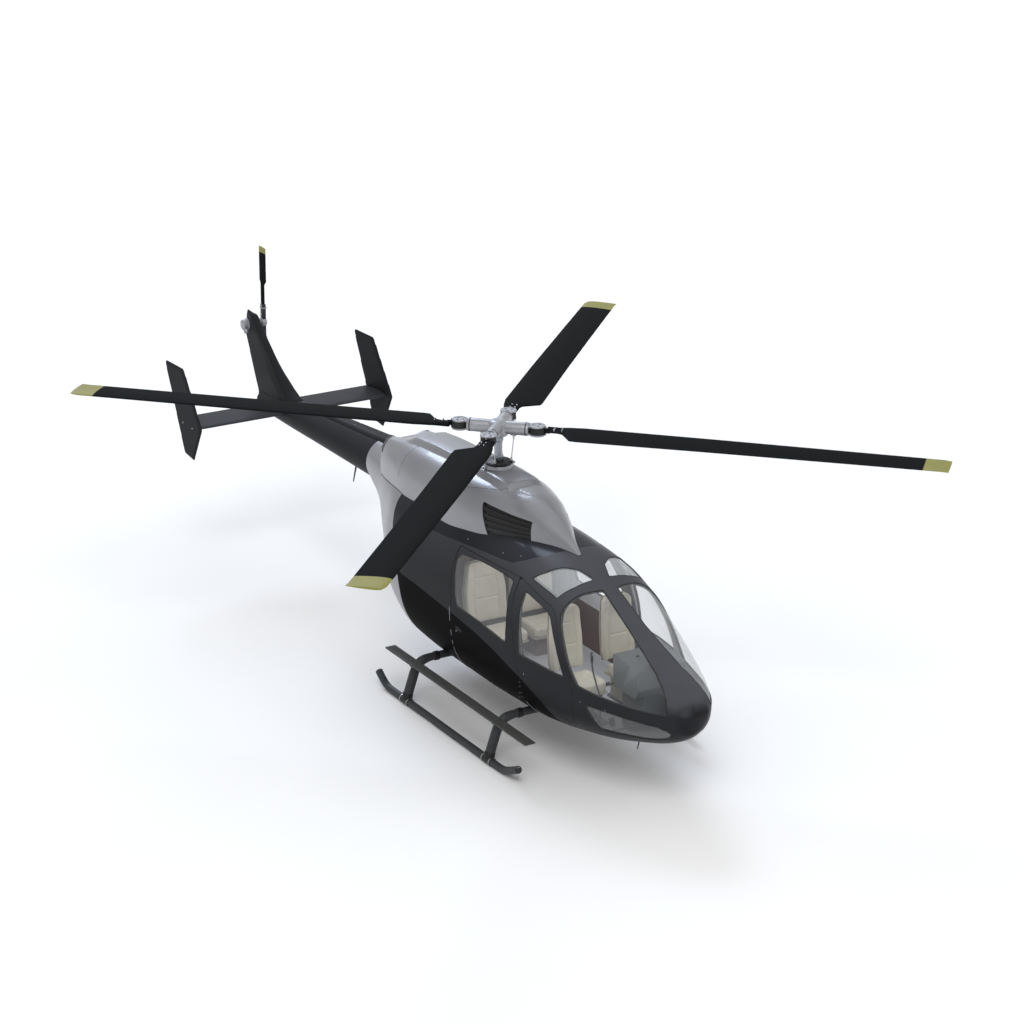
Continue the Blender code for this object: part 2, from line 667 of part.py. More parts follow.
def build_cowl():
    cowl = solid_loft("cowling", COWL, COWL_YS, 0.0, "silver", COWL_ANGLES, on_cowl)
    inner_ys = [y for y in COWL_YS if -1.75 < y < 2.30] + [2.33]
    hollow = solid_loft("cut_cowl_hollow", COWL, inner_ys, COWL_WALL, None, COWL_ANGLES, on_cowl)
    boolean(cowl, hollow)
    boolean(cowl, GROWN_HULL)
    boolean(cowl, rod("cut_mast_hole", (0, 0, 2.7), (0, 0, 3.3), MAST_HOLE_R, count=24))
    for name, (half, ends, levels) in (("engine_block", ENGINE), ("main_gearbox", GEARBOX)):
        low = (-half, ends[0], levels[0])
        boolean(box(name, low, (half, ends[1], levels[1]), "dark_metal"), GROWN_HULL)
    for side_name, side in SIDES.items():
        build_grille(f"intake_grille_{side_name}", side, cowl)
        x = side * EXHAUST_X
        start = (x, 2.10, EXHAUST_Z)
        end = (x, 2.50, EXHAUST_Z)
        boolean(cowl, rod(f"cut_exhaust_{side_name}", start, end, EXHAUST_R, None, 20))
        pipe = rod(f"exhaust_{side_name}", (x, 2.08, EXHAUST_Z), (x, 2.40, EXHAUST_Z), EXHAUST_R - GAP,
                   "dark_metal", 20)
        boolean(pipe, rod(f"bore_{side_name}", start, end, EXHAUST_R - 0.010, None, 20))


def build_grille(name, side, cowl):
    """A louvred panel let into the cowl's side: a skin with grooves from its front to its back edge."""
    low, high = x_range(side, 0.10, 0.80)
    boolean(cowl, prism(f"cut_{name}", grow(GRILLE, GAP), low, high, "x"))
    ys = [y for y in COWL_YS if -1.5 < y < -0.2]
    grille = tube_loft(name, COWL, ys, 0.003, 0.028, "black", None, COWL_ANGLES, on_cowl)
    boolean(grille, prism(f"shape_{name}", GRILLE, low, high, "x"), "INTERSECT")
    boolean(grille, GROWN_HULL)
    for k in range(LOUVRES):
        groove = tube_loft(f"groove_{name}_{k}", COWL, ys, -0.02, 0.017, None, None, COWL_ANGLES, on_cowl)
        lower = (k + 0.40) / LOUVRES
        upper = (k + 0.85) / LOUVRES
        back = [between(GRILLE[3], GRILLE[0], share, GROOVE_END) for share in (lower, upper)]
        front = [between(GRILLE[2], GRILLE[1], share, -GROOVE_END) for share in (upper, lower)]
        boolean(groove, prism(f"groove_shape_{name}_{k}", back + front, low, high, "x"), "INTERSECT")
        boolean(grille, groove)


def between(a, b, share, forward=0.0):
    return (a[0] + (b[0] - a[0]) * share - forward, a[1] + (b[1] - a[1]) * share)


def build_cabin():
    core = solid_loft("core_floor", BODY, hull_stations(-4.3, CABIN_END), WALL + GAP)
    floor = box("cabin_floor", (-1, -3.95, FLOOR_Z[0]), (1, 0.95, FLOOR_Z[1]), "carpet")
    boolean(floor, core, "INTERSECT")
    core = solid_loft("core_wall", BODY, hull_stations(-1.0, CABIN_END), WALL + GAP)
    wall = box("rear_bulkhead", (-1, 0.0, FLOOR_Z[1] + GAP), (1, 0.04, 2.6), "cream")
    boolean(wall, core, "INTERSECT")
    panel_outline = [(-3.10, 1.67), (-3.62, 1.62), (-3.66, 1.36), (-3.50, 0.84), (-3.30, FLOOR_Z[1] + GAP),
                     (-3.12, FLOOR_Z[1] + GAP), (-3.12, 1.24)]
    panel = prism("instrument_panel", panel_outline, *PANEL_SIDES, "x", "grey_trim")
    for low, high in ((-1.0, PEDESTAL_SIDES[0]), (PEDESTAL_SIDES[1], 1.0)):
        boolean(panel, box(f"cut_panel_{high}", (low, -4.2, 0.5), (high, -2.9, 1.25)))
    for side_name, side in SIDES.items():
        build_seat(f"front_seat_{side_name}", side, *FRONT_SEAT)
        x = side * FRONT_SEAT[0]
        stick = [(x, -3.03, FLOOR_Z[1] + GAP), (x, -3.02, 1.10), (x, -2.86, 1.36), (x, -2.83, 1.60)]
        sweep(f"control_stick_{side_name}", stick, STICK_R, "dark_metal", 2)
        build_seat(f"rear_seat_{side_name}", side, *REAR_SEAT)


def build_seat(name, side, away, y, width, top):
    """A seat whose back's front face meets the cushion at y. The cushion top is at z = top."""
    x = side * away
    half = width / 2
    side_view = [(y - 0.50, top - 0.15), (y - 0.56, top - 0.03), (y - 0.50, top), (y, top - 0.03),
                 (y + 0.06, top + 0.60), (y + 0.09, top + 0.82), (y + 0.18, top + 0.80),
                 (y + 0.17, top + 0.40), (y + 0.14, top - 0.10), (y + 0.08, top - 0.15)]
    seat = bevel(prism(name, side_view, x - half, x + half, "x", "cream"), 0.025, 2)
    low = (x - SEAT_FOOT, y - 0.40, FLOOR_Z[1] + GAP)
    foot = box(f"foot_{name}", low, (x + SEAT_FOOT, y + 0.06, top - 0.10))
    boolean(seat, foot, "UNION")
    return seat


def foil(chord, thick, count=6):
    """Half-cosine spaced points round a symmetric aerofoil, from the trailing edge."""
    top = []
    for k in range(count + 1):
        s = 0.5 * (1 + math.cos(math.pi * k / count))
        t = 5 * thick * (0.2969 * math.sqrt(s) - 0.126 * s - 0.3516 * s**2 + 0.2843 * s**3 - 0.1036 * s**4)
        top.append((s * chord, t * chord))
    return top + [(u, -v) for u, v in reversed(top[1:-1])]


def blade(name, rows, place, paint):
    """Loft a blade along +X. Rows are (r, chord, thickness ratio, lead, twist degrees)."""
    verts = []
    for r, chord, thick, lead, twist in rows:
        turn = math.radians(twist)
        for u, v in foil(chord, thick):
            a = lead - u
            verts.append(place @ Vector((r, a * math.cos(turn) - v * math.sin(turn),
                                         a * math.sin(turn) + v * math.cos(turn))))
    count = len(verts) // len(rows)
    faces = [tuple(range(count))]
    for i in range(len(rows) - 1):
        faces += bridge(i * count, (i + 1) * count, count)
    last = (len(rows) - 1) * count
    faces.append(tuple(reversed(range(last, last + count))))
    return face_out(smooth(add(name, verts, faces, paint)))


def build_rotor():
    z = ROTOR_Z
    here = Vector((0, 0, z))
    hub = rod("rotor_hub", (0, 0, z + HUB_RISE[0]), (0, 0, z + HUB_RISE[1]), HUB_R, "hub_metal", 24)
    for k in range(BLADES):
        turn = math.radians(45 + 360 / BLADES * k)
        out = Vector((math.cos(turn), math.sin(turn), 0))
        eye = here + out * GRIP_R
        boolean(hub, rod(f"arm_{k}", here, here + out * ARM_LENGTH, ARM_R, None, 12), "UNION")
        for level, sign in (("low", -1), ("high", 1)):
            build_grip(hub, f"{level}_{k}", out, sign)
        half = Vector((0, 0, CUFF + 0.0003))
        boolean(hub, rod(f"eye_{k}", eye - half, eye + half, EYE_R, None, 12))
        place = Matrix.Translation(here) @ Matrix.Rotation(turn, 4, "Z")
        wing = blade(f"main_blade_{k + 1}", MAIN_BLADE, place, "black")
        half = Vector((0, 0, CUFF))
        boolean(wing, rod(f"cuff_{k}", eye - half, eye + half, CUFF_R, None, 12), "UNION")
        neck = rod(f"neck_{k}", here + out * NECK[0], here + out * NECK[1], NECK_R, None, 12)
        boolean(wing, neck, "UNION")
    rod("rotor_mast", (0, 0, MAST_FOOT), (0, 0, z + HUB_RISE[0] - GAP), MAST_R, "hub_metal", 24)
    build_swashplate()


def build_grip(hub, key, out, sign):
    """One of the two plates that hold a blade's cuff, with its round cap."""
    side = Vector((-out.y, out.x, 0))
    face = ROTOR_Z + sign * (CUFF + 0.0005)
    inner, outer = PLATE_R
    ends = ((inner, -PLATE_HALF), (outer, -PLATE_HALF), (outer, PLATE_HALF), (inner, PLATE_HALF))
    corners = [out * r + side * w for r, w in ends]
    levels = sorted((face, face + sign * PLATE_THICK))
    boolean(hub, prism(f"plate_{key}", [(c.x, c.y) for c in corners], levels[0], levels[1], "z"), "UNION")
    a = out * GRIP_R + Vector((0, 0, face + sign * 0.002))
    boolean(hub, rod(f"disc_{key}", a, a + Vector((0, 0, sign * DISC_RISE)), CUFF_R, None, 12), "UNION")


def build_swashplate():
    low = Vector((0, 0, 2.9))
    high = Vector((0, 0, 3.2))
    radius, (bottom, top), bore = FIXED_PLATE
    fixed = rod("swashplate_fixed", (0, 0, bottom), (0, 0, top), radius, "hub_metal", 24)
    ear = box("ear_fixed", (-EAR[0], -EAR[1], bottom), EAR)
    boolean(fixed, ear, "UNION")
    boolean(fixed, rod("cut_fixed", low, high, bore, None, 24))
    radius, (bottom, top), bore = TURNING_PLATE
    turning = rod("swashplate_turning", (0, 0, bottom), (0, 0, top), radius, "dark_metal", 24)
    boolean(turning, rod("cut_turning", low, high, bore, None, 24))
    for k in range(BLADES):
        turn = math.radians(45 + 360 / BLADES * k)
        a = Vector((LINK_AT[0] * math.cos(turn), LINK_AT[0] * math.sin(turn), 3.09))
        b = Vector((LINK_AT[1] * math.cos(turn), LINK_AT[1] * math.sin(turn), ROTOR_Z - 0.0885))
        boolean(turning, rod(f"link_{k}", a, b, LINK_R, None, 10), "UNION")


def build_tail():
    boom = tube_loft("tail_boom", BOOM, BOOM_YS, 0.0, 0.02, "charcoal", None, BOOM_ANGLES)
    fin_outline = [(5.75, 2.395), (6.08, 2.59), (6.57, 2.98), (6.83, 3.22), (7.09, 3.24), (7.17, 2.90),
                   (7.04, 2.63), (6.86, 2.30), (6.72, 2.03), (6.64, 2.03), (6.64, 2.395)]
    fin = prism("vertical_fin", fin_outline, -FIN_HALF, FIN_HALF, "x", "charcoal")
    bevel(fin, 0.02, 2)
    boolean(fin, GROWN_BOOM)
    rows = [(r, STABILIZER_CHORD, 0.09, 0.0, 0) for r in (-STABILIZER_HALF, STABILIZER_HALF)]
    place = Matrix.Translation((0, *STABILIZER_AT)) @ Matrix.Scale(-1, 4, (0, 1, 0))
    plane = blade("stabilizer", rows, place, "charcoal")
    rows = [(r, STABILIZER_CHORD + 0.01, 0.105, 0.005, 0) for r in (-STABILIZER_HALF, STABILIZER_HALF)]
    boolean(boom, blade("cut_stab", rows, place, None))
    plate_outline = [(6.67, 2.83), (6.08, 2.85), (5.57, 2.18), (5.52, 2.10), (5.80, 1.58), (6.09, 1.61)]
    for side_name, side in SIDES.items():
        x = sorted((side * PLATE_X[0], side * PLATE_X[1]))
        end_plate = bevel(prism(f"end_plate_{side_name}", plate_outline, x[0], x[1], "x"), 0.008, 2)
        boolean(plane, end_plate, "UNION")
    tx, ty, tz = TAIL_HUB
    gear = rod("tail_gearbox", (-0.15, ty, tz), (-FIN_HALF - GAP, ty, tz), 0.075, "hub_metal", 20, 0.09)
    boolean(gear, rod("cut_gear_mouth", (-0.2, ty, tz), (-0.13, ty, tz), 0.03, None, 12))
    rod("tail_rotor_mast", (FIN_HALF + GAP, ty, tz), (tx - 0.0454, ty, tz), TAIL_MAST_R, "hub_metal", 20)
    hub = rod("tail_rotor_hub", (tx - 0.045, ty, tz), (tx + 0.05, ty, tz), TAIL_HUB_R, "hub_metal", 24)
    low = Vector(TAIL_HUB) - Vector(YOKE)
    boolean(hub, box("tail_yoke", low, Vector(TAIL_HUB) + Vector(YOKE)), "UNION")
    for k, turn in enumerate((0, 180)):
        place = Matrix.Translation((tx, ty, tz)) @ Matrix.Rotation(math.radians(turn), 4, "X")
        place = place @ Matrix.Rotation(math.radians(-90), 4, "Y")
        rows = [(YOKE[2] + GAP, 0.12, 0.20, 0.06, 0), (0.56, 0.12, 0.18, 0.06, 0)]
        rows += [(0.62, TAIL_CHORD, 0.12, 0.09, 0), (TAIL_R, TAIL_CHORD, 0.10, 0.09, 0)]
        blade(f"tail_blade_{k + 1}", rows, place, "black")


def build_gear():
    skid_path = [(0.85, 0.18), (0.74, 0.105), (0.65, 0.06), (0.56, 0.04), (-2.22, 0.04), (-2.34, 0.06),
                 (-2.45, 0.10), (-2.65, 0.19)]
    for side_name, side in SIDES.items():
        sweep(f"skid_{side_name}", [(side * SKID_X, y, z) for y, z in skid_path], SKID_R, "dark_metal", 4)
        low, high = sorted((side * STEP_X[0], side * STEP_X[1]))
        outline = [(low, -2.50), (low, 0.65), ((low + high) / 2, 0.81), (high, 0.65), (high, -2.50),
                   ((low + high) / 2, -2.70)]
        step = prism(f"step_{side_name}", outline, *STEP_Z, "z", "dark_metal")
        for k, y in enumerate(CROSS_Y):
            foot = sorted((side * STEP_FOOT[0], side * STEP_FOOT[1]))
            foot = box(f"foot_{side_name}_{k}", (foot[0], y - 0.05, 0.49), (foot[1], y + 0.05, 0.56))
            boolean(step, foot, "UNION")
    half = [(SKID_X, 0.05), (1.225, 0.20), (1.155, 0.41), (1.115, 0.485)]
    half += [(1.05, 0.545), (0.97, 0.568), (0.88, CROSS_Z)]
    for k, (name, y) in enumerate(zip(("rear", "front"), CROSS_Y)):
        path = [(x, y, z) for x, z in half] + [(-x, y, z) for x, z in reversed(half)]
        tube = sweep(f"cross_tube_{name}", path, CROSS_R, "dark_metal", 5)
        for side_name, side in SIDES.items():
            x = side * SKID_X
            start = (x, y - 0.3, SKID_R)
            cope = rod(f"cope_{name}_{side_name}", start, (x, y + 0.3, SKID_R), SKID_R + GAP, None, 28)
            boolean(tube, cope)
            cut = sweep(f"saddle_{name}_{side_name}", path, CROSS_R + GAP, None, 5)
            boolean(bpy.data.objects[f"step_{side_name}"], cut)


def build_antennas():
    boolean(rod("belly_antenna", (0, -3.38, 0.68), (0, -3.30, 0.44), 0.012, "black", 10, 0.006), GROWN_HULL)
    boolean(rod("boom_antenna", (0, 3.78, 1.95), (0, 3.90, 1.60), 0.016, "black", 10, 0.008), GROWN_BOOM)


def set_origin(names, point):
    """Move the origin of each named object to a point, with its shape left where it is."""
    for name in names:
        ob = bpy.data.objects[name]
        ob.data.transform(Matrix.Translation(-Vector(point)))
        ob.location += Vector(point)


def set_origins():
    """Moving pieces have their origins on their joints' axes."""
    blades = [f"main_blade_{k + 1}" for k in range(BLADES)]
    set_origin(["rotor_mast", "rotor_hub", "swashplate_turning"] + blades, (0, 0, ROTOR_Z))
    set_origin(["tail_rotor_mast", "tail_rotor_hub", "tail_blade_1", "tail_blade_2"], TAIL_HUB)
    for side_name, side in SIDES.items():
        for name, (outline, window) in DOORS.items():
            x, y = door_hinge(outline, side)
            set_origin([f"{name}_{side_name}", f"{name}_window_{side_name}"], (x, y, HINGE_Z))


def shift_all():
    """Put the frame's origin under the middle of the machine's length."""
    for ob in list(PARTS.objects) + list(CUTTERS.objects):
        ob.location.y += MAST_Y


build_hull()
build_cowl()
build_cabin()
build_rotor()
build_tail()
build_gear()
build_antennas()
set_origins()
shift_all()
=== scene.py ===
# Looks of the light twin-engine helicopter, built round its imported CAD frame.
# The nose points along -Y, the starboard side is -X and the skids stand on z = 0.
import math

import bmesh
import bpy
import numpy as np
from mathutils import Matrix, Vector, geometry


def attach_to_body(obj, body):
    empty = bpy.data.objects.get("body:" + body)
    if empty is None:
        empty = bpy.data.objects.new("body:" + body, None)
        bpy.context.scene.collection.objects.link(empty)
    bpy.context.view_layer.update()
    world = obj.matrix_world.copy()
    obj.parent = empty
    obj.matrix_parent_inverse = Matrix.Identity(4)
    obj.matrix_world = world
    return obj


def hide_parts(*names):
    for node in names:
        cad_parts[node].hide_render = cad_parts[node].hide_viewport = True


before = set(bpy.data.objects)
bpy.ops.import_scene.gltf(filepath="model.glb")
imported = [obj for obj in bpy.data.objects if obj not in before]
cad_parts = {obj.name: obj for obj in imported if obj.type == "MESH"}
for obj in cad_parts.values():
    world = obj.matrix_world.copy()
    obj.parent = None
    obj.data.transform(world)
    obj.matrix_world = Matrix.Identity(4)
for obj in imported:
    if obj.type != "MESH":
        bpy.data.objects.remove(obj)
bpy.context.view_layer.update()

MAST_Y = -1.333
ROTOR_R = 5.64
ROTOR_Z = 3.54
WALL = 0.035
SIDES = {"right": -1, "left": 1}

# hull sections: y, bottom z, widest z, top z, half width, exponent above, exponent below
BODY = [
    (-4.50, 1.27, 1.30, 1.33, 0.02, 2.0, 2.0),
    (-4.44, 1.07, 1.30, 1.46, 0.22, 2.1, 2.0),
    (-4.25, 0.91, 1.29, 1.58, 0.40, 2.3, 2.1),
    (-3.85, 0.76, 1.27, 1.74, 0.59, 2.5, 2.2),
    (-3.30, 0.62, 1.24, 1.97, 0.74, 2.7, 2.4),
    (-2.95, 0.56, 1.22, 2.13, 0.80, 2.8, 2.5),
    (-2.60, 0.51, 1.20, 2.29, 0.85, 2.9, 2.6),
    (-2.20, 0.47, 1.20, 2.42, 0.88, 2.9, 2.7),
    (-1.70, 0.45, 1.20, 2.50, 0.90, 2.8, 2.7),
    (-1.00, 0.42, 1.20, 2.54, 0.90, 2.8, 2.7),
    (0.00, 0.42, 1.22, 2.55, 0.90, 2.8, 2.7),
    (0.80, 0.46, 1.30, 2.55, 0.90, 2.8, 2.7),
    (1.40, 0.63, 1.48, 2.55, 0.83, 2.7, 2.6),
    (1.90, 1.08, 1.78, 2.55, 0.63, 2.5, 2.4),
    (2.40, 1.64, 2.08, 2.54, 0.43, 2.2, 2.2),
    (2.95, 1.905, 2.21, 2.515, 0.305, 2.0, 2.0),
]
COWL = [
    (-1.96, 2.40, 2.44, 2.475, 0.03, 2.0, 2.0),
    (-1.70, 2.30, 2.40, 2.63, 0.13, 2.0, 2.0),
    (-1.30, 2.20, 2.38, 2.84, 0.32, 2.1, 2.0),
    (-0.90, 2.15, 2.35, 2.94, 0.48, 2.3, 2.0),
    (-0.40, 2.10, 2.32, 2.96, 0.60, 2.6, 2.0),
    (0.30, 2.10, 2.30, 2.95, 0.66, 2.7, 2.0),
    (1.20, 2.10, 2.30, 2.92, 0.64, 2.7, 2.0),
    (2.00, 2.10, 2.30, 2.85, 0.50, 2.8, 2.0),
    (2.36, 2.10, 2.30, 2.81, 0.41, 3.2, 2.0),
]
BOOM = [
    (2.9504, 1.912, 2.207, 2.505, 0.297, 2.0, 2.0),
    (4.40, 1.90, 2.14, 2.38, 0.24, 2.05, 2.05),
    (6.10, 1.875, 2.04, 2.205, 0.155, 2.1, 2.1),
    (6.62, 1.885, 2.01, 2.135, 0.115, 2.2, 2.2),
]

# window outlines as (y, angle round the section in degrees), written for starboard
REAR_WINDOW = [(-0.348, 31.5), (-0.430, 36.4), (-0.827, 39.6), (-1.555, 41.8), (-1.622, 40.6),
               (-1.655, 27.2), (-1.690, 13.3), (-1.700, 5.2), (-1.650, 4.6), (-1.088, 5.7),
               (-0.505, 6.2), (-0.445, 9.5), (-0.400, 17.0)]
FRONT_WINDOW = [(-1.892, 40.4), (-2.390, 38.8), (-2.475, 37.2), (-2.560, 31.5), (-2.695, 22.0),
                (-2.800, 13.5), (-2.905, 5.4), (-2.454, 4.3), (-1.990, 3.4), (-1.958, 12.5),
                (-1.915, 25.9)]
WINDSHIELD = [(-2.592, 46.0), (-2.572, 52.5), (-2.583, 71.0), (-2.632, 87.6), (-3.227, 85.6),
              (-3.600, 82.1), (-3.942, 75.7), (-4.150, 64.0), (-4.274, 50.0), (-4.345, 30.0),
              (-4.365, 10.5), (-4.044, 6.1), (-3.458, 4.5), (-3.136, 4.7), (-2.984, 12.9),
              (-2.793, 27.4), (-2.661, 37.6)]
SKYLIGHT = [(-1.878, 51.2), (-1.985, 61.7), (-2.081, 76.5), (-2.218, 84.2), (-2.449, 87.4),
            (-2.459, 72.0), (-2.417, 52.6), (-2.150, 51.6)]
CHIN = [(-3.274, -4.0), (-3.520, -4.9), (-3.732, -6.1), (-4.050, -9.8), (-4.270, -15.8),
        (-4.350, -28.0), (-4.370, -41.0), (-4.300, -51.5), (-4.090, -47.0), (-3.827, -40.2),
        (-3.420, -34.0), (-3.360, -16.5)]
# door outlines on the side as (y, z); SEAM is the front door's back edge, from the top down
SEAM = [(-1.72, 2.235), (-1.765, 1.84), (-1.838, 1.635), (-1.908, 1.375), (-1.975, 1.23),
        (-2.03, 1.05), (-2.04, 0.80)]
FRONT_EDGE = [(-2.95, 0.80), (-3.05, 1.00), (-3.06, 1.24), (-2.985, 1.42), (-2.80, 1.68),
              (-2.66, 1.88), (-2.565, 2.01), (-2.44, 2.095), (-2.20, 2.15), (-1.90, 2.205)]
REAR_EDGE = [(-0.34, 2.20), (-0.325, 1.87), (-0.355, 1.60), (-0.385, 1.20), (-0.41, 0.85), (-0.46, 0.74)]
REAR_LOW = [(-1.96, 0.74)]
DOOR_GAP = 0.006
CABIN_END = 1.25
TAIL_START = 2.95
BOOM_START = 2.9504
BOOM_END = 6.62
NOSE = -4.50
INNER_NOSE = -4.44
# the skin's nose ends in a point this far ahead of the first section
NOSE_TIP = NOSE - 0.012
# a height inside the hull that its faces look away from
AXIS_Z = 1.45
HALF = math.pi / 2

# the raised deck round the mast and the dip between the engine housings, on top of the cowl
DECK_RISE = 0.06
DECK_FRONT = (-0.70, -0.58)
DECK_BACK = (1.70, 1.95)
DECK_SIDE = (0.21, 0.29)
DIP_DEPTH = 0.09
DIP_Y = (1.75, 2.30)
DIP_SIDE = (0.08, 0.33)
# the intake grille on the cowl's side as (y, z), and the exhaust pipes' place in the cowl's back wall
GRILLE = [(-0.45, 2.78), (-1.25, 2.72), (-1.33, 2.45), (-0.72, 2.33)]
BACK_WALL_Y = 2.352
EXHAUST_X = 0.28
EXHAUST_Z = 2.60
EXHAUST_R = 0.0852


# Surfaces: the section tables read at any place
TABLES = {}


def table_of(rows):
    """The rows as arrays with their slope-limited slopes, kept for the next call."""
    key = id(rows)
    if key not in TABLES:
        data = np.array(rows, float)
        ys, v = data[:, 0], data[:, 1:]
        rise = np.diff(v, axis=0) / np.diff(ys)[:, None]
        a, b = rise[:-1], rise[1:]
        total = np.where(a * b > 0, a + b, 1.0)
        middle = np.where(a * b > 0, 2 * a * b / total, 0.0)
        TABLES[key] = (ys, v, np.vstack([rise[:1], middle, rise[-1:]]))
    return TABLES[key]


def sections(rows, y):
    """The section values at each y: bottom, widest, top, half width and two exponents."""
    ys, v, slopes = table_of(rows)
    y = np.asarray(y, float)
    i = np.clip(np.searchsorted(ys, y) - 1, 0, len(ys) - 2)
    step = ys[i + 1] - ys[i]
    t = ((y - ys[i]) / step)[:, None]
    a = (2 * t**3 - 3 * t**2 + 1) * v[i] + (-2 * t**3 + 3 * t**2) * v[i + 1]
    b = (t**3 - 2 * t**2 + t) * slopes[i] + (t**3 - t**2) * slopes[i + 1]
    return (a + step[:, None] * b).T


def section_at(rows, y):
    """The section values at one y."""
    return sections(rows, np.array([y]))[:, 0]


def ramp(value, low, high):
    t = np.clip((value - low) / (high - low), 0.0, 1.0)
    return t * t * (3 - 2 * t)


def section_points(rows, y, phi, inset=0.0):
    """x (not negative) and z at polar angle phi, with the inner skin drawn in along x on the sides."""
    zb, zc, zt, w, up, low = sections(rows, y)
    s, c = np.sin(phi), np.abs(np.cos(phi))
    above = s >= 0
    n = np.where(above, up, low)
    height = np.where(above, zt - zc, zc - zb)
    rho = (c**n + np.abs(s) ** n) ** (1 / n)
    if np.any(inset):
        h2 = np.maximum(height - inset, 1e-4)
        t = np.clip(height * np.abs(s) / rho / h2, 0, 0.9999)
        level = np.arctan2(t, (1 - t**n) ** (1 / n))
        share = 1 - ramp(np.degrees(np.abs(phi)), 48, 70)
        turned = np.abs(phi) + share * (level - np.abs(phi))
        s, c = np.sin(turned) * np.sign(s), np.cos(turned)
        rho = (np.abs(c) ** n + np.abs(s) ** n) ** (1 / n)
        height = h2
        w = np.maximum(w - inset, 1e-4)
    return w * c / rho, zc + height * s / rho


def hull_points(y, phi, inset=0.0):
    """Points of the hull, starboard or port alike: x is not negative. The nose closes to a point."""
    start = INNER_NOSE if np.any(inset) else NOSE
    held = np.maximum(y, start)
    x, z = section_points(BODY, held, phi, inset)
    share = np.clip((y - NOSE_TIP) / (start - NOSE_TIP), 0, 1)
    middle = sections(BODY, held)[1]
    return np.column_stack([x * share, held, middle + (z - middle) * share])


def loft_points(rows):
    def place(y, phi, inset=0.0):
        x, z = section_points(rows, y, phi, inset)
        return np.column_stack([x, y, z])
    return place


def cowl_points(y, phi, inset=0.0):
    """The cowl with its raised deck and the dip between the engine housings."""
    x, z = section_points(COWL, y, phi, inset)
    deck = ramp(y, *DECK_FRONT) * (1 - ramp(y, *DECK_BACK)) * (1 - ramp(x, *DECK_SIDE))
    dip = ramp(y, *DIP_Y) * (1 - ramp(x, *DIP_SIDE))
    z = z + np.where(phi > 0, DECK_RISE * deck - DIP_DEPTH * dip, 0.0)
    return np.column_stack([x, y, z])


def polar(rows, y, degrees):
    """The polar angle of a point written with the CAD source's section angle."""
    _, _, _, _, up, low = section_at(rows, y)
    n = up if degrees >= 0 else low
    t = math.radians(abs(degrees))
    return math.copysign(math.atan2(math.sin(t) ** (2 / n), math.cos(t) ** (2 / n)), degrees)


def polar_at(rows, y, z):
    """The polar angle of the point at height z on the side."""
    zb, zc, zt, _, up, low = section_at(rows, y)
    n, height = (up, zt - zc) if z >= zc else (low, zc - zb)
    t = min(0.9999, abs(z - zc) / height)
    return math.copysign(math.atan2(t, (1 - t**n) ** (1 / n)), z - zc)


# Outlines in the flat domain of a skin, and their filling with triangles
def spline(points, step, closed=True):
    """A centripetal curve through the points, resampled at about the step."""
    p = np.array(points, float)
    n = len(p)
    result = []
    count = n if closed else n - 1
    for k in range(count):
        a = p[k - 1] if closed or k > 0 else 2 * p[0] - p[1]
        b, c = p[k], p[(k + 1) % n]
        d = p[(k + 2) % n] if closed or k + 2 < n else 2 * p[-1] - p[-2]
        ab = max(1e-6, np.linalg.norm(b - a)) ** 0.5
        bc = max(1e-6, np.linalg.norm(c - b)) ** 0.5
        cd = max(1e-6, np.linalg.norm(d - c)) ** 0.5
        m1 = c - b + bc * ((b - a) / ab - (c - a) / (ab + bc))
        m2 = c - b + bc * ((d - c) / cd - (d - b) / (bc + cd))
        steps = max(1, int(round(np.linalg.norm(c - b) / step)))
        for j in range(steps):
            t = j / steps
            result.append((2 * t**3 - 3 * t**2 + 1) * b + (t**3 - 2 * t**2 + t) * m1
                          + (-2 * t**3 + 3 * t**2) * c + (t**3 - t**2) * m2)
    if not closed:
        result.append(p[-1])
    return [tuple(q) for q in result]


def resample(points, step, closed=True):
    """Straight runs cut at about the step."""
    result = []
    n = len(points)
    for k in range(n if closed else n - 1):
        a, b = np.array(points[k]), np.array(points[(k + 1) % n])
        steps = max(1, int(round(np.linalg.norm(b - a) / step)))
        result += [tuple(a + (b - a) * j / steps) for j in range(steps)]
    if not closed:
        result.append(tuple(points[-1]))
    return result


def rounded(points, radius, step):
    """A closed outline with each corner turned into an arc of about the radius."""
    result = []
    n = len(points)
    for k in range(n):
        p = np.array(points[k])
        a, b = np.array(points[k - 1]) - p, np.array(points[(k + 1) % n]) - p
        la, lb = np.linalg.norm(a), np.linalg.norm(b)
        angle = math.acos(max(-1, min(1, a.dot(b) / la / lb)))
        cut = min(radius / math.tan(angle / 2), 0.45 * la, 0.45 * lb)
        pa, pb = p + a / la * cut, p + b / lb * cut
        steps = max(2, int(round(2 * cut / step)))
        for j in range(steps + 1):
            t = j / steps
            result.append(tuple((1 - t) ** 2 * pa + 2 * t * (1 - t) * p + t * t * pb))
    return resample(result, step)


def inside(points, polygon):
    """Which of the points lie in the polygon."""
    p = np.asarray(points, float)
    q = np.asarray(polygon, float)
    x, y = p[:, 0][:, None], p[:, 1][:, None]
    x1, y1 = q[:, 0][None], q[:, 1][None]
    x2, y2 = np.roll(q[:, 0], -1)[None], np.roll(q[:, 1], -1)[None]
    crosses = (y1 > y) != (y2 > y)
    rise = np.where(y2 == y1, 1e-12, y2 - y1)
    at = (x2 - x1) * (y - y1) / rise + x1
    return (np.sum(crosses & (x < at), axis=1) % 2) == 1


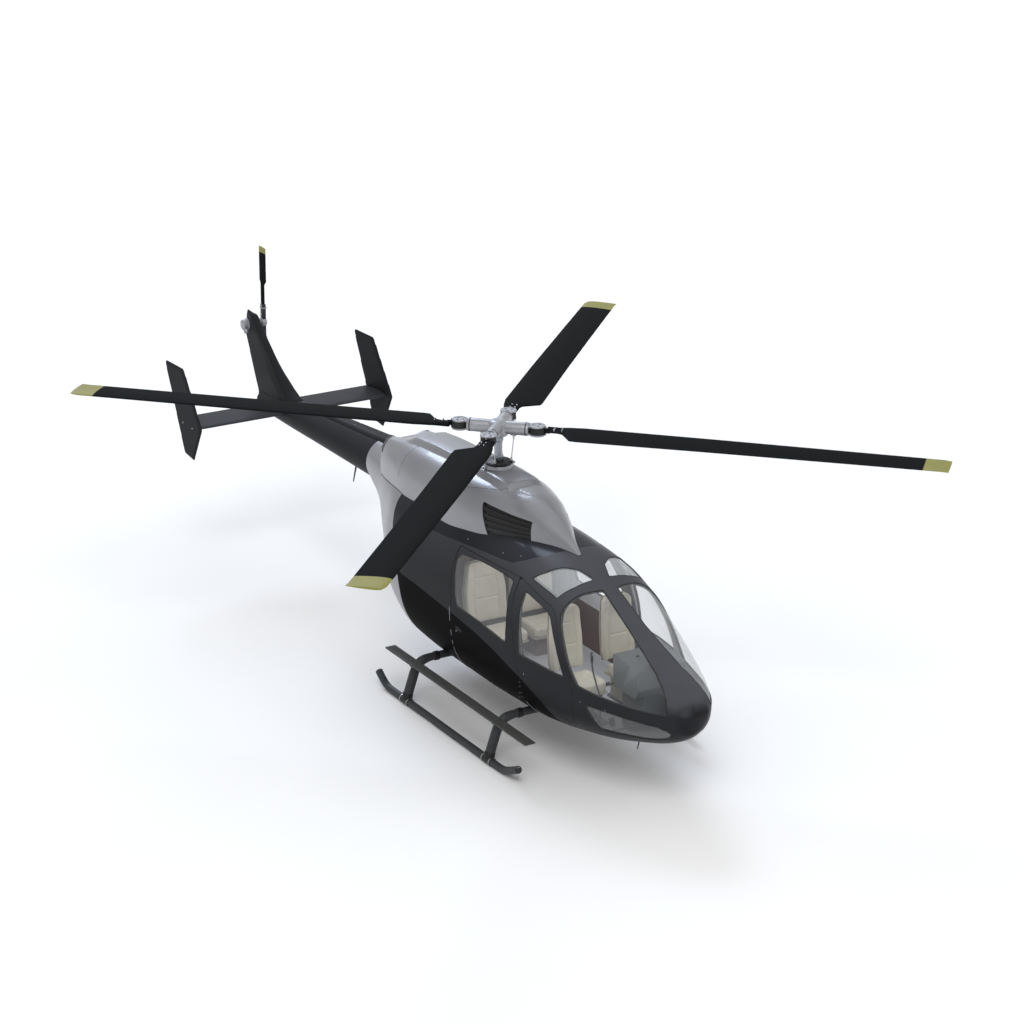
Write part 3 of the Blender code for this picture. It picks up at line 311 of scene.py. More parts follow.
def distance(points, lines):
    """Each point's distance to the nearest segment of the lines, given as (points, closed)."""
    p = np.asarray(points, float)
    best = np.full(len(p), 1e9)
    for line, closed in lines:
        q = np.asarray(line, float)
        a = q if closed else q[:-1]
        b = np.roll(q, -1, axis=0) if closed else q[1:]
        for start in range(0, len(a), 400):
            s, e = a[start:start + 400], b[start:start + 400]
            d = e - s
            length = np.maximum((d * d).sum(1), 1e-12)
            t = np.clip(((p[:, None] - s[None]) * d[None]).sum(2) / length, 0, 1)
            near = s[None] + t[:, :, None] * d[None]
            best = np.minimum(best, np.sqrt(((p[:, None] - near) ** 2).sum(2)).min(1))
    return best


def fill(outline, holes=(), lines=(), spacing=0.05):
    """Triangles inside an outline and outside its holes, with points on the given lines."""
    loops = [(outline, True)] + [(h, True) for h in holes]
    every = loops + [(line, False) for line in lines]
    p = np.array(outline)
    low, high = p.min(0), p.max(0)
    rows = np.arange(low[1] + spacing / 2, high[1], spacing * 0.866)
    grid = []
    for k, v in enumerate(rows):
        u = np.arange(low[0] + spacing * (0.25 + 0.5 * (k % 2)), high[0], spacing)
        grid.append(np.column_stack([u, np.full(len(u), v)]))
    grid = np.vstack(grid) if grid else np.zeros((0, 2))
    keep = inside(grid, outline)
    for hole in holes:
        keep &= ~inside(grid, hole)
    grid = grid[keep]
    if len(grid):
        grid = grid[distance(grid, every) > spacing * 0.45]
    points = []
    edges = []
    for line, closed in every:
        base = len(points)
        points += list(line)
        edges += [(base + k, base + k + 1) for k in range(len(line) - 1)]
        if closed:
            edges.append((base + len(line) - 1, base))
    points += [tuple(q) for q in grid]
    made = geometry.delaunay_2d_cdt([Vector(q) for q in points], edges, [], 0, 1e-6, False)
    verts = np.array([tuple(v) for v in made[0]])
    tris = np.array([tuple(f) for f in made[2]])
    middles = verts[tris].mean(1)
    keep = inside(middles, outline)
    for hole in holes:
        keep &= ~inside(middles, hole)
    return verts, tris[keep]


# Meshes, objects and curved shells
def new_object(name, data):
    ob = bpy.data.objects.new(name, data)
    bpy.context.scene.collection.objects.link(ob)
    return ob


def new_mesh(name, verts, faces, mats, kinds):
    """A smooth mesh with its materials. kinds gives each face's material index."""
    mesh = bpy.data.meshes.new(name)
    mesh.from_pydata([tuple(v) for v in verts], [], [tuple(int(i) for i in f) for f in faces])
    for mat in mats:
        mesh.materials.append(mat)
    mesh.polygons.foreach_set("material_index", np.array(kinds, np.int32))
    mesh.polygons.foreach_set("use_smooth", np.full(len(mesh.polygons), True))
    mesh.update()
    return mesh


def border_edges(tris):
    """The directed edges that only one triangle has."""
    used = {(int(t[k]), int(t[(k + 1) % 3])): True for t in tris for k in range(3)}
    return [(a, b) for a, b in used if (b, a) not in used]


def attach(ob, body, replaces=()):
    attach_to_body(ob, body)
    if replaces:
        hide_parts(*([replaces] if isinstance(replaces, str) else replaces))
    NEW_PIECES.append(ob)
    return ob


def skin(name, shape, side, verts2, tris, outer, inner, mats, body, paint=None, lining=1, rim=2,
         mirror=False, replaces=()):
    """A curved shell over a filled outline, between two insets, with its own normals.
    The domain is (y, polar angle); paint gives each outer triangle's material."""
    y, phi = verts2[:, 0], verts2[:, 1]
    step = 0.004
    layers = []
    for inset in (outer, inner):
        p = shape(y, phi, inset)
        ahead, behind = np.minimum(y + step, y.max()), np.maximum(y - step, y.min())
        du = shape(ahead, phi, inset) - shape(behind, phi, inset)
        above, below = np.clip(phi + step, -HALF, HALF), np.clip(phi - step, -HALF, HALF)
        dv = shape(y, above, inset) - shape(y, below, inset)
        n = np.cross(du, dv)
        n /= np.maximum(np.linalg.norm(n, axis=1), 1e-12)[:, None]
        n *= np.where((n * (p - np.column_stack([0 * y, y, 0 * y + 1.5]))).sum(1) < -2, -1, 1)[:, None]
        layers.append((p, n))
    kinds = paint if paint is not None else np.zeros(len(tris), int)
    count = len(verts2)
    border = border_edges(tris)
    if mirror:
        border = [(a, b) for a, b in border if min(abs(phi[a]), abs(phi[b])) < HALF - 1e-5]
    border = [(a, b) for a, b in border if max(y[a], y[b]) > NOSE_TIP + 1e-5]
    points, normals, faces, types, hard = [], [], [], [], []
    for sign in ((side,) if not mirror else (-1, 1)):
        base = len(points) and sum(len(q) for q in points)
        turn = np.array([sign, 1, 1])
        points.append(layers[0][0] * turn)
        points.append(layers[1][0] * turn)
        normals.append(layers[0][1] * turn)
        normals.append(-layers[1][1] * turn)
        out = tris if sign > 0 else tris[:, ::-1]
        faces += [tuple(f) for f in out + base]
        types += list(kinds)
        hard += [False] * len(out)
        faces += [tuple(f) for f in out[:, ::-1] + base + count]
        types += [lining] * len(out) if isinstance(lining, int) else list(lining)
        hard += [False] * len(out)
        for a, b in border:
            quad = (base + b, base + a, base + count + a, base + count + b)
            faces.append(quad if sign > 0 else quad[::-1])
            types.append(rim)
            hard.append(True)
    points, normals = np.vstack(points), np.vstack(normals)
    mesh = new_mesh(name, points, faces, mats, types)
    if turned_in(mesh, len(tris)):
        mesh.flip_normals()
    normals = align(mesh, normals)
    loops = []
    for poly in mesh.polygons:
        if hard[poly.index]:
            loops += [tuple(poly.normal)] * poly.loop_total
        else:
            loops += [tuple(normals[v]) for v in poly.vertices]
    mesh.normals_split_custom_set(loops)
    ob = new_object(name, mesh)
    if mirror:
        # join the two halves on the centre plane
        ob.modifiers.new("weld", "WELD").merge_threshold = 1e-5
    return attach(ob, body, replaces)


def turned_in(mesh, count):
    """True when the first faces turn inwards."""
    score = 0.0
    for poly in list(mesh.polygons)[:count:7]:
        c = poly.center
        score += poly.normal.dot(Vector((c.x, 0, c.z - AXIS_Z)))
    return score < 0


def align(mesh, normals):
    """Turn each stored normal to the side that its faces look to."""
    total = np.zeros((len(normals), 3))
    for poly in mesh.polygons:
        if poly.loop_total == 3:
            for v in poly.vertices:
                total[v] += poly.normal * poly.area
    sign = np.where((total * normals).sum(1) < 0, -1.0, 1.0)
    size = np.linalg.norm(total, axis=1)
    good = np.linalg.norm(normals, axis=1) > 0.5
    fallback = total / np.maximum(size, 1e-12)[:, None]
    return np.where(good[:, None], normals * sign[:, None], fallback)


def shift_all():
    """The section tables are written from the mast: put every new piece in the row frame."""
    for ob in NEW_PIECES:
        ob.data.transform(Matrix.Translation((0, MAST_Y, 0)))


NEW_PIECES = []


# Materials
def material(name, color, rough=0.5, metal=0.0, coat=0.0, noise=30.0, vary=0.06, rough_vary=0.06, bump=0.02,
             bump_scale=400.0, coat_rough=0.05, sheen=0.0, level=0.5, painted_top_light=1.0):
    """A Principled material whose colour, roughness and bump come from noise.
    Its top-light factor brightens what faces up: painted light on the upward faces."""
    mat = bpy.data.materials.new(name)
    mat.use_nodes = True
    tree = mat.node_tree
    nodes, links = tree.nodes, tree.links
    shader = nodes["Principled BSDF"]
    shader.inputs["Metallic"].default_value = metal
    shader.inputs["Coat Weight"].default_value = coat
    shader.inputs["Coat Roughness"].default_value = coat_rough
    shader.inputs["Sheen Weight"].default_value = sheen
    shader.inputs["Specular IOR Level"].default_value = level
    where = nodes.new("ShaderNodeTexCoord")
    cloud = nodes.new("ShaderNodeTexNoise")
    cloud.inputs["Scale"].default_value = noise
    cloud.inputs["Detail"].default_value = 6.0
    links.new(where.outputs["Object"], cloud.inputs["Vector"])
    tint = nodes.new("ShaderNodeValToRGB")
    tint.color_ramp.elements[0].position = 0.3
    tint.color_ramp.elements[1].position = 0.7
    tint.color_ramp.elements[0].color = (*[c * (1 - vary) for c in color], 1)
    tint.color_ramp.elements[1].color = (*[min(1.0, c * (1 + vary)) for c in color], 1)
    links.new(cloud.outputs["Fac"], tint.inputs["Fac"])
    color_out = tint.outputs["Color"]
    # brighten the upward faces: painted light, not a colour of the paint
    if painted_top_light != 1.0:
        color_out = paint_top_light(nodes, links, where, color_out, painted_top_light)
    links.new(color_out, shader.inputs["Base Color"])
    spread = nodes.new("ShaderNodeMapRange")
    spread.inputs["To Min"].default_value = max(0.02, rough - rough_vary)
    spread.inputs["To Max"].default_value = min(1.0, rough + rough_vary)
    links.new(cloud.outputs["Fac"], spread.inputs["Value"])
    links.new(spread.outputs["Result"], shader.inputs["Roughness"])
    if bump:
        grain = nodes.new("ShaderNodeTexNoise")
        grain.inputs["Scale"].default_value = bump_scale
        grain.inputs["Detail"].default_value = 3.0
        links.new(where.outputs["Object"], grain.inputs["Vector"])
        relief = nodes.new("ShaderNodeBump")
        relief.inputs["Strength"].default_value = bump
        relief.inputs["Distance"].default_value = 0.001
        links.new(grain.outputs["Fac"], relief.inputs["Height"])
        links.new(relief.outputs["Normal"], shader.inputs["Normal"])
    return mat


def paint_top_light(nodes, links, where, color_out, painted_top_light):
    """Multiply a colour by up to the given factor as the surface turns upwards: painted light on the upward
    faces.
    """
    split = nodes.new("ShaderNodeSeparateXYZ")
    links.new(where.outputs["Normal"], split.inputs["Vector"])
    amount = nodes.new("ShaderNodeMapRange")
    amount.inputs["From Min"].default_value = 0.12
    amount.inputs["From Max"].default_value = 0.80
    amount.inputs["To Min"].default_value = 1.0
    amount.inputs["To Max"].default_value = painted_top_light
    links.new(split.outputs["Z"], amount.inputs["Value"])
    scale = nodes.new("ShaderNodeVectorMath")
    scale.operation = "SCALE"
    links.new(color_out, scale.inputs[0])
    links.new(amount.outputs["Result"], scale.inputs["Scale"])
    return scale.outputs["Vector"]


def glass_material(name, color, facing, edge, rough=0.04):
    """Clear glazing: light passes where it faces the eye and is pale where it turns away, a painted
    reflection of the bright surroundings.
    """
    mat = bpy.data.materials.new(name)
    mat.use_nodes = True
    tree = mat.node_tree
    nodes, links = tree.nodes, tree.links
    shader = nodes["Principled BSDF"]
    shader.inputs["Roughness"].default_value = rough
    shader.inputs["IOR"].default_value = 1.5
    where = nodes.new("ShaderNodeTexCoord")
    cloud = nodes.new("ShaderNodeTexNoise")
    cloud.inputs["Scale"].default_value = 3.0
    links.new(where.outputs["Object"], cloud.inputs["Vector"])
    tint = nodes.new("ShaderNodeValToRGB")
    tint.color_ramp.elements[0].color = (*[c * 0.94 for c in color], 1)
    tint.color_ramp.elements[1].color = (*color, 1)
    links.new(cloud.outputs["Fac"], tint.inputs["Fac"])
    links.new(tint.outputs["Color"], shader.inputs["Base Color"])
    turned = nodes.new("ShaderNodeLayerWeight")
    turned.inputs["Blend"].default_value = 0.18
    spread = nodes.new("ShaderNodeMapRange")
    spread.inputs["To Min"].default_value = facing
    spread.inputs["To Max"].default_value = edge
    links.new(turned.outputs["Facing"], spread.inputs["Value"])
    links.new(spread.outputs["Result"], shader.inputs["Alpha"])
    return mat


# upward faces of the charcoal paint are made up to three times lighter: painted light on the tops
CHARCOAL = material("charcoal_paint", (0.024, 0.0245, 0.0275), 0.33, 0.0, 0.0, 2.0, 0.05, 0.04, 0.01, 500,
                    level=0.035, painted_top_light=3.0)
BLACK = material("black_paint", (0.0065, 0.0065, 0.0070), 0.45, 0.0, 0.0, 2.0, 0.06, 0.05, 0.01, 500,
                 level=0.01)
# upward faces of the roof black are made up to 4.2 times lighter: a painted sheen on the roof
ROOF_BLACK = material("roof_black", (0.0075, 0.008, 0.0095), 0.24, 0.0, 0.04, 2.0, 0.05, 0.04, 0.01, 500,
                      level=0.05, painted_top_light=4.2)
SILVER = material("silver_paint", (0.265, 0.268, 0.285), 0.36, 0.35, 0.25, 2.5, 0.04, 0.04, 0.012, 600)
LINING = material("cabin_lining", (0.50, 0.51, 0.54), 0.85, 0.0, 0.0, 12.0, 0.05, 0.05, 0.25, 260,
                  sheen=0.1)
BROWN = material("brown_trim", (0.15, 0.105, 0.09), 0.85, 0.0, 0.0, 12.0, 0.10, 0.05, 0.25, 260, sheen=0.2)
RIM = material("door_rim", (0.020, 0.020, 0.022), 0.55, 0.0, 0.0, 12.0, 0.06, 0.05, 0.05, 300)
RUBBER = material("black_rubber", (0.010, 0.010, 0.010), 0.65, 0.0, 0.0, 40.0, 0.10, 0.08, 0.10, 900)
# upward faces of the boom paint are made up to 1.7 times lighter: painted light on the boom's top
BOOM_PAINT = material("boom_paint", (0.019, 0.0195, 0.022), 0.36, 0.0, 0.0, 2.0, 0.05, 0.04, 0.01, 500,
                      level=0.02, painted_top_light=1.7)
# the pale cabin and roof glass colours show most at grazing angles: a painted reflection
GLASS = glass_material("cabin_glass", (0.60, 0.62, 0.64), 0.015, 0.44)
ROOF_GLASS = glass_material("roof_glass", (0.64, 0.67, 0.69), 0.30, 0.55)
CHIN_GLASS = glass_material("chin_glass", (0.125, 0.13, 0.135), 0.45, 0.85)
MAROON = material("maroon_trim", (0.062, 0.013, 0.008), 0.60, 0.0, 0.0, 9.0, 0.08, 0.05, 0.15, 300,
                  level=0.2)
HULL_MATS = [CHARCOAL, LINING, RIM, BLACK, ROOF_BLACK, SILVER, MAROON]
K_CHARCOAL, K_LINING, K_RIM, K_BLACK, K_ROOF, K_SILVER, K_MAROON = range(7)


# Hull, doors, glass and cowl
def window_loop(outline, radius=0.03, step=0.015, shrink=0.0):
    loop = rounded([(y, polar(BODY, y, a)) for y, a in outline], radius, step)
    if shrink:
        p = np.array(loop)
        middle = p.mean(0)
        loop = [tuple(middle + (q - middle) * (1 - shrink)) for q in p]
    return loop


def side_loop(outline, radius=0.03, step=0.02):
    flat = rounded(outline, radius, step)
    return [(y, polar_at(BODY, y, z)) for y, z in flat]


def grow(outline, amount):
    """Offset a side-view outline outwards by the amount."""
    n = len(outline)
    area = sum(outline[k][0] * outline[(k + 1) % n][1] - outline[(k + 1) % n][0] * outline[k][1]
               for k in range(n))
    sign = 1 if area > 0 else -1
    result = []
    for k in range(n):
        p = Vector(outline[k])
        a = (p - Vector(outline[k - 1])).normalized()
        b = (Vector(outline[(k + 1) % n]) - p).normalized()
        na = Vector((a.y, -a.x)) * sign
        nb = Vector((b.y, -b.x)) * sign
        out = (na + nb).normalized()
        result.append(tuple(p + out * amount / max(0.5, out.dot(na))))
    return result


def half_width(y, z):
    zb, zc, zt, w, up, low = section_at(BODY, y)
    reach = (z - zc) / (zt - zc) if z > zc else (zc - z) / (zc - zb)
    power = up if z > zc else low
    return w * max(0.0, 1 - min(1.0, reach) ** power) ** (1 / power)


def hinge_x(outline):
    """The outermost x of a door's front edge, where its hinges stand."""
    y = min(p[0] for p in outline)
    return float(section_at(BODY, y)[3]) + 0.001, y


def swing_out(outline, y, z):
    x, front = hinge_x(outline)
    inboard = max(0.0, x - half_width(y, z) + WALL * 1.5)
    behind = y - front
    return math.hypot(inboard, behind) - behind


FRONT_DOOR = FRONT_EDGE + SEAM
FAR_SEAM = [(y + DOOR_GAP + swing_out(FRONT_DOOR, y, z), z) for y, z in SEAM]
REAR_DOOR = FAR_SEAM[::-1] + REAR_EDGE + REAR_LOW
BACK = [(y + swing_out(REAR_DOOR, y, z), z) for y, z in REAR_EDGE]
DOORWAY = grow(FRONT_EDGE + [SEAM[0]] + BACK + REAR_LOW + [(-2.03, 0.80)], DOOR_GAP)

# the paint's borders on the side, as (y, z): the black below, and the silver at the back
LOW_LINE = [(1.30, 1.455), (0.97, 1.44), (0.51, 1.42), (-0.34, 1.355), (-0.92, 1.303), (-1.42, 1.229),
            (-2.01, 1.091), (-2.30, 0.985), (-2.45, 0.911), (-2.55, 0.82), (-2.62, 0.70), (-2.66, 0.60),
            (-2.68, 0.40)]
SILVER_EDGE = [(1.37, 2.70), (1.378, 2.24), (1.358, 2.13), (1.30, 1.96), (1.262, 1.89), (1.19, 1.70),
               (1.12, 1.60), (1.06, 1.44), (1.01, 1.28), (0.965, 1.156), (0.93, 1.027), (0.88, 0.90),
               (0.80, 0.75), (0.68, 0.60), (0.52, 0.48), (0.40, 0.36)]
# the black roof patch as (y, section angle), from its aft lower corner forward
ROOF_PATCH = [(1.265, 17.6), (1.10, 22.0), (0.90, 29.5), (0.64, 36.5), (0.341, 39.2), (-0.059, 41.5),
              (-0.512, 44.7), (-0.952, 48.0), (-1.224, 49.8), (-1.427, 52.6), (-1.573, 60.1),
              (-1.701, 70.3), (-1.762, 75.3), (-1.79, 90.0)]
PAINT_STEP = 0.035


def side_line(points, low, high):
    """A paint border given as (y, z) in the hull's domain, between two y values."""
    line = []
    for y, z in resample(points, PAINT_STEP, False):
        zb, _, zt = section_at(BODY, y)[:3]
        if low <= y <= high and zb + 0.002 < z < zt - 0.002:
            line.append((y, polar_at(BODY, y, z)))
    return line


def roof_line(low, high):
    line = resample([(y, polar(BODY, y, a)) for y, a in ROOF_PATCH], PAINT_STEP, False)
    return [q for q in line if low <= q[0] <= high]


def borders(low, high):
    """The paint borders that lie between two y values, as lines for the fill."""
    lines = [side_line(LOW_LINE, low, high), side_line(SILVER_EDGE, low, high), roof_line(low, high)]
    return [line for line in lines if len(line) > 1]


def paint_of(middles):
    """The paint at each (y, polar angle)."""
    y = middles[:, 0]
    held = np.clip(y, -4.49, 2.94)
    z = section_points(BODY, held, middles[:, 1])[1]
    paint = np.full(len(y), K_CHARCOAL)
    roof = [(y, polar(BODY, y, a)) for y, a in ROOF_PATCH]
    paint[inside(middles, [(1.45, HALF + 0.1), (1.45, roof[0][1])] + roof + [(-1.79, HALF + 0.1)])] = K_ROOF
    low = np.array(sorted(LOW_LINE))
    paint[z < np.interp(y, low[:, 0], low[:, 1])] = K_BLACK
    edge = np.array(SILVER_EDGE[::-1])
    paint[y > np.interp(z, edge[:, 1], edge[:, 0])] = K_SILVER
    return paint


def hull_half():
    """Half of the cabin's skin as a filled outline with its openings."""
    outline = resample([(NOSE_TIP, -HALF), (CABIN_END, -HALF), (CABIN_END, HALF), (NOSE_TIP, HALF)], 0.05)
    holes = [side_loop(DOORWAY, 0.04)] + [window_loop(w) for w in (WINDSHIELD, SKYLIGHT, CHIN)]
    verts, tris = fill(outline, holes, borders(-4.4, CABIN_END - 0.01), 0.05)
    return verts, tris, paint_of(verts[tris].mean(1))


def build_hull():
    verts, tris, paint = hull_half()
    skin("hull", hull_points, 1, verts, tris, 0.0, WALL, HULL_MATS, "airframe", paint,
         K_LINING, K_RIM, True, "cabin_shell")
    start = CABIN_END + 0.0004
    outline = resample([(start, -HALF), (TAIL_START, -HALF), (TAIL_START, HALF), (start, HALF)], 0.05)
    verts, tris = fill(outline, (), borders(CABIN_END + 0.01, TAIL_START), 0.05)
    skin("aft_hull", loft_points(BODY), 1, verts, tris, 0.0, 0.03, HULL_MATS, "airframe",
         paint_of(verts[tris].mean(1)), K_LINING, K_SILVER, True, "aft_fuselage")
    outline = resample([(BOOM_START, -HALF), (BOOM_END, -HALF), (BOOM_END, HALF), (BOOM_START, HALF)], 0.06)
    verts, tris = fill(outline, (), (), 0.06)
    skin("boom", loft_points(BOOM), 1, verts, tris, 0.0, 0.02, [BOOM_PAINT, RIM, BOOM_PAINT], "airframe",
         None, 1, 2, True, "tail_boom")


def surface_path(shape, side, points, inset=0.0):
    """Points of the domain as places on one side of a curved skin."""
    p = shape(np.array([q[0] for q in points]), np.array([q[1] for q in points]), inset)
    return [Vector((side * q[0], q[1], q[2])) for q in p]


def outline_ends(outline):
    return min(p[0] for p in outline), max(p[0] for p in outline)


SILL_Z = 1.25


def build_doors():
    for side_name, side in SIDES.items():
        for name, outline, window in (("front_door", FRONT_DOOR, FRONT_WINDOW),
                                      ("rear_door", REAR_DOOR, REAR_WINDOW)):
            loop = side_loop(outline, 0.03)
            hole = window_loop(window)
            low, high = outline_ends(outline)
            sill = side_line([(low, SILL_Z), (high, SILL_Z)], low + 0.05, high - 0.05)
            verts, tris = fill(loop, [hole], borders(low, high) + [sill], 0.05)
            middles = verts[tris].mean(1)
            paint = paint_of(middles)
            height = section_points(BODY, middles[:, 0], middles[:, 1])[1]
            inner = np.where(height < SILL_Z, K_MAROON, K_LINING)
            skin(f"{name}_panel_{side_name}", hull_points, side, verts, tris, 0.0, WALL, HULL_MATS,
                 f"{name}_{side_name}", paint, inner, K_RIM, False, f"{name}_{side_name}")


def build_glass():
    panes = [("windshield", WINDSHIELD, "airframe", GLASS), ("skylight", SKYLIGHT, "airframe", ROOF_GLASS),
             ("chin_window", CHIN, "airframe", CHIN_GLASS),
             ("front_door_window", FRONT_WINDOW, "front_door", GLASS),
             ("rear_door_window", REAR_WINDOW, "rear_door", GLASS)]
    for side_name, side in SIDES.items():
        for name, outline, body, mat in panes:
            verts, tris = fill(window_loop(outline, shrink=0.003), (), (), 0.05)
            body = body if body == "airframe" else f"{body}_{side_name}"
            skin(f"{name}_pane_{side_name}", hull_points, side, verts, tris, 0.010, 0.016, [mat], body,
                 None, 0, 0, False, f"{name}_{side_name}")


def cowl_foot():
    """Where the cowl comes out of the hull: its lowest shown polar angle at each y."""
    result = []
    for y in np.arange(-1.955, 2.3601, 0.035):
        angles = np.radians(np.arange(90, -60, -0.5))
        p = cowl_points(np.full(len(angles), y), angles)
        _, zc, zt, w, up, _ = section_at(BODY, y)
        above = np.maximum(p[:, 2] - zc, 0) / (zt - zc)
        sunk = (p[:, 0] / w) ** up + above**up < 1
        k = int(np.argmax(sunk)) if sunk.any() else len(angles) - 1
        if k > 1:
            result.append((float(y), float(angles[k])))
    return result


def build_cowl():
    foot = cowl_foot()
    hole = [(y, polar_at(COWL, y, z)) for y, z in rounded(GRILLE, 0.02, 0.03)]
    outline = resample([(foot[0][0], HALF)] + foot + [(foot[-1][0], HALF)], 0.035)
    verts, tris = fill(outline, [hole], (), 0.035)
    skin("cowl", cowl_points, 1, verts, tris, 0.0, 0.02, [SILVER, RIM, RIM], "airframe",
         None, 1, 2, True, "cowling")


# Solid pieces
def plate_bmesh(outline, low, high, bevel, segments):
    """A flat outline (x, y) between two heights, with rounded rims."""
    bm = bmesh.new()
    bottom = [bm.verts.new((*q, low)) for q in outline]
    top = [bm.verts.new((*q, high)) for q in outline]
    n = len(outline)
    bm.faces.new(bottom[::-1])
    bm.faces.new(top)
    for k in range(n):
        bm.faces.new((bottom[k], bottom[(k + 1) % n], top[(k + 1) % n], top[k]))
    if bevel:
        edges = [e for e in bm.edges if abs(e.verts[0].co.z - e.verts[1].co.z) < 1e-6]
        bmesh.ops.bevel(bm, geom=edges, offset=bevel, segments=segments, affect="EDGES", profile=0.5)
    return bm


class Form:
    """Collects the closed shapes of one piece."""

    def __init__(self):
        self.verts, self.faces, self.kinds = [], [], []

    def add(self, verts, faces, kind=0, place=None):
        base = len(self.verts)
        self.verts += [tuple(place @ Vector(v)) if place else tuple(v) for v in verts]
        self.faces += [tuple(base + i for i in f) for f in faces]
        self.kinds += [kind] * len(faces)
        return self

    def rings(self, rings, kind=0, place=None, kinds=None):
        """Skin over rings of equal count, closed at both ends."""
        count = len(rings[0])
        verts = [v for r in rings for v in r]
        faces, types = [], []
        for i in range(len(rings) - 1):
            for k in range(count):
                j = (k + 1) % count
                faces.append((i * count + k, i * count + j, (i + 1) * count + j, (i + 1) * count + k))
                types.append(kinds[i] if kinds else kind)
        faces.append(tuple(reversed(range(count))))
        faces.append(tuple(range((len(rings) - 1) * count, len(rings) * count)))
        types += [kinds[0] if kinds else kind, kinds[-1] if kinds else kind]
        self.add(verts, faces, kind, place)
        self.kinds[-len(faces):] = types
        return self

    def lathe(self, profile, place, kind=0, count=32):
        """(radius, height) pairs turned about the local Z axis."""
        rings = [[(max(r, 1e-4) * math.cos(2 * math.pi * k / count),
                   max(r, 1e-4) * math.sin(2 * math.pi * k / count), h)
                  for k in range(count)] for r, h in profile]
        return self.rings(rings, kind, place)

    def rod(self, a, b, radius, kind=0, count=16, edge=0.0, end=None):
        """A round bar with small chamfers."""
        a, b = Vector(a), Vector(b)
        place = Matrix.Translation(a) @ (b - a).to_track_quat("Z", "Y").to_matrix().to_4x4()
        length = (b - a).length
        far = radius if end is None else end
        profile = [(radius, 0), (far, length)]
        if edge:
            profile = [(radius - edge, 0), (radius, edge), (far, length - edge), (far - edge, length)]
        return self.lathe(profile, place, kind, count)

    def tube(self, path, radius, kind=0, count=12, closed=False):
        """A round tube along a path without twist. radius may be a list."""
        p = [Vector(q) for q in path]
        n = len(p)
        radii = radius if isinstance(radius, (list, tuple)) else [radius] * n
        tangents = []
        for k in range(n):
            a = p[k - 1] if closed or k else p[0]
            b = p[(k + 1) % n] if closed or k < n - 1 else p[-1]
            tangents.append((b - a).normalized())
        side = tangents[0].orthogonal().normalized()
        rings = []
        for k in range(n):
            side = (side - tangents[k] * side.dot(tangents[k])).normalized()
            across = tangents[k].cross(side)
            rings.append([p[k] + (side * math.cos(t) + across * math.sin(t)) * radii[k]
                          for t in (2 * math.pi * j / count for j in range(count))])
        if not closed:
            return self.rings(rings, kind)
        shift = min(range(count), key=lambda s: (rings[0][s] - rings[-1][0]).length)
        verts = [v for r in rings for v in r]
        faces = []
        for i in range(n):
            after = (i + 1) % n
            turn = shift if after == 0 else 0
            for k in range(count):
                j = (k + 1) % count
                faces.append((i * count + k, i * count + j, after * count + (j + turn) % count,
                              after * count + (k + turn) % count))
        return self.add(verts, faces, kind)

    def box(self, low, high, kind=0, bevel=0.0, place=None, segments=2):
        bm = bmesh.new()
        size = Vector(high) - Vector(low)
        middle = (Vector(high) + Vector(low)) / 2
        bmesh.ops.create_cube(bm, size=1.0, matrix=Matrix.Translation(middle) @ Matrix.Diagonal((*size, 1)))
        return self.bmesh(bm, kind, bevel, place, segments)

    def bmesh(self, bm, kind=0, bevel=0.0, place=None, segments=2):
        if bevel:
            bmesh.ops.bevel(bm, geom=list(bm.edges), offset=bevel, segments=segments, affect="EDGES",
                            profile=0.5)
        bm.verts.ensure_lookup_table()
        bmesh.ops.recalc_face_normals(bm, faces=bm.faces)
        verts = [v.co.copy() for v in bm.verts]
        faces = [[v.index for v in f.verts] for f in bm.faces]
        bm.free()
        return self.add(verts, faces, kind, place)

    def plate(self, outline, low, high, kind=0, bevel=0.0, place=None, segments=2):
        return self.bmesh(plate_bmesh(outline, low, high, bevel, segments), kind, 0.0, place)

    def make(self, name, mats, body, replaces=(), slot=None, sharp=35):
        """An object that rides on a body, with its edges above the sharp angle left hard."""
        ob = new_object(name, new_mesh(name, self.verts, self.faces, mats, self.kinds))
        bm = bmesh.new()
        bm.from_mesh(ob.data)
        bmesh.ops.recalc_face_normals(bm, faces=bm.faces)
        for e in bm.edges:
            if len(e.link_faces) == 2 and e.calc_face_angle(0) > math.radians(sharp):
                e.smooth = False
        bm.to_mesh(ob.data)
        bm.free()
        return attach(ob, body, replaces)


def arc(cx, cy, radius, start, end, steps):
    return [(cx + radius * math.cos(math.radians(start + (end - start) * k / steps)),
             cy + radius * math.sin(math.radians(start + (end - start) * k / steps)))
             for k in range(steps + 1)]


def spun(turn):
    return Matrix.Rotation(math.radians(turn), 4, "Z")


AT_HUB = Matrix.Translation((0, 0, ROTOR_Z))
TO_X = Matrix.Rotation(math.radians(90), 4, "Y")


# Main rotor
# main blade sections: radius, chord, thickness ratio, leading edge ahead of the axis, twist in degrees
MAIN_BLADE = [
    (0.62, 0.20, 0.30, 0.12, 0),
    (0.78, 0.21, 0.24, 0.13, 0),
    (0.84, 0.25, 0.18, 0.15, 1),
    (0.97, 0.47, 0.11, 0.17, 1.5),
    (1.06, 0.495, 0.10, 0.185, 1.5),
    (2.6, 0.475, 0.095, 0.195, 1.0),
    (4.2, 0.455, 0.09, 0.19, 0.5),
    (ROTOR_R - 0.10, 0.44, 0.085, 0.185, 0),
    (ROTOR_R, 0.4201, 0.07, 0.156, 0),
]
TIP_START = ROTOR_R - 0.31


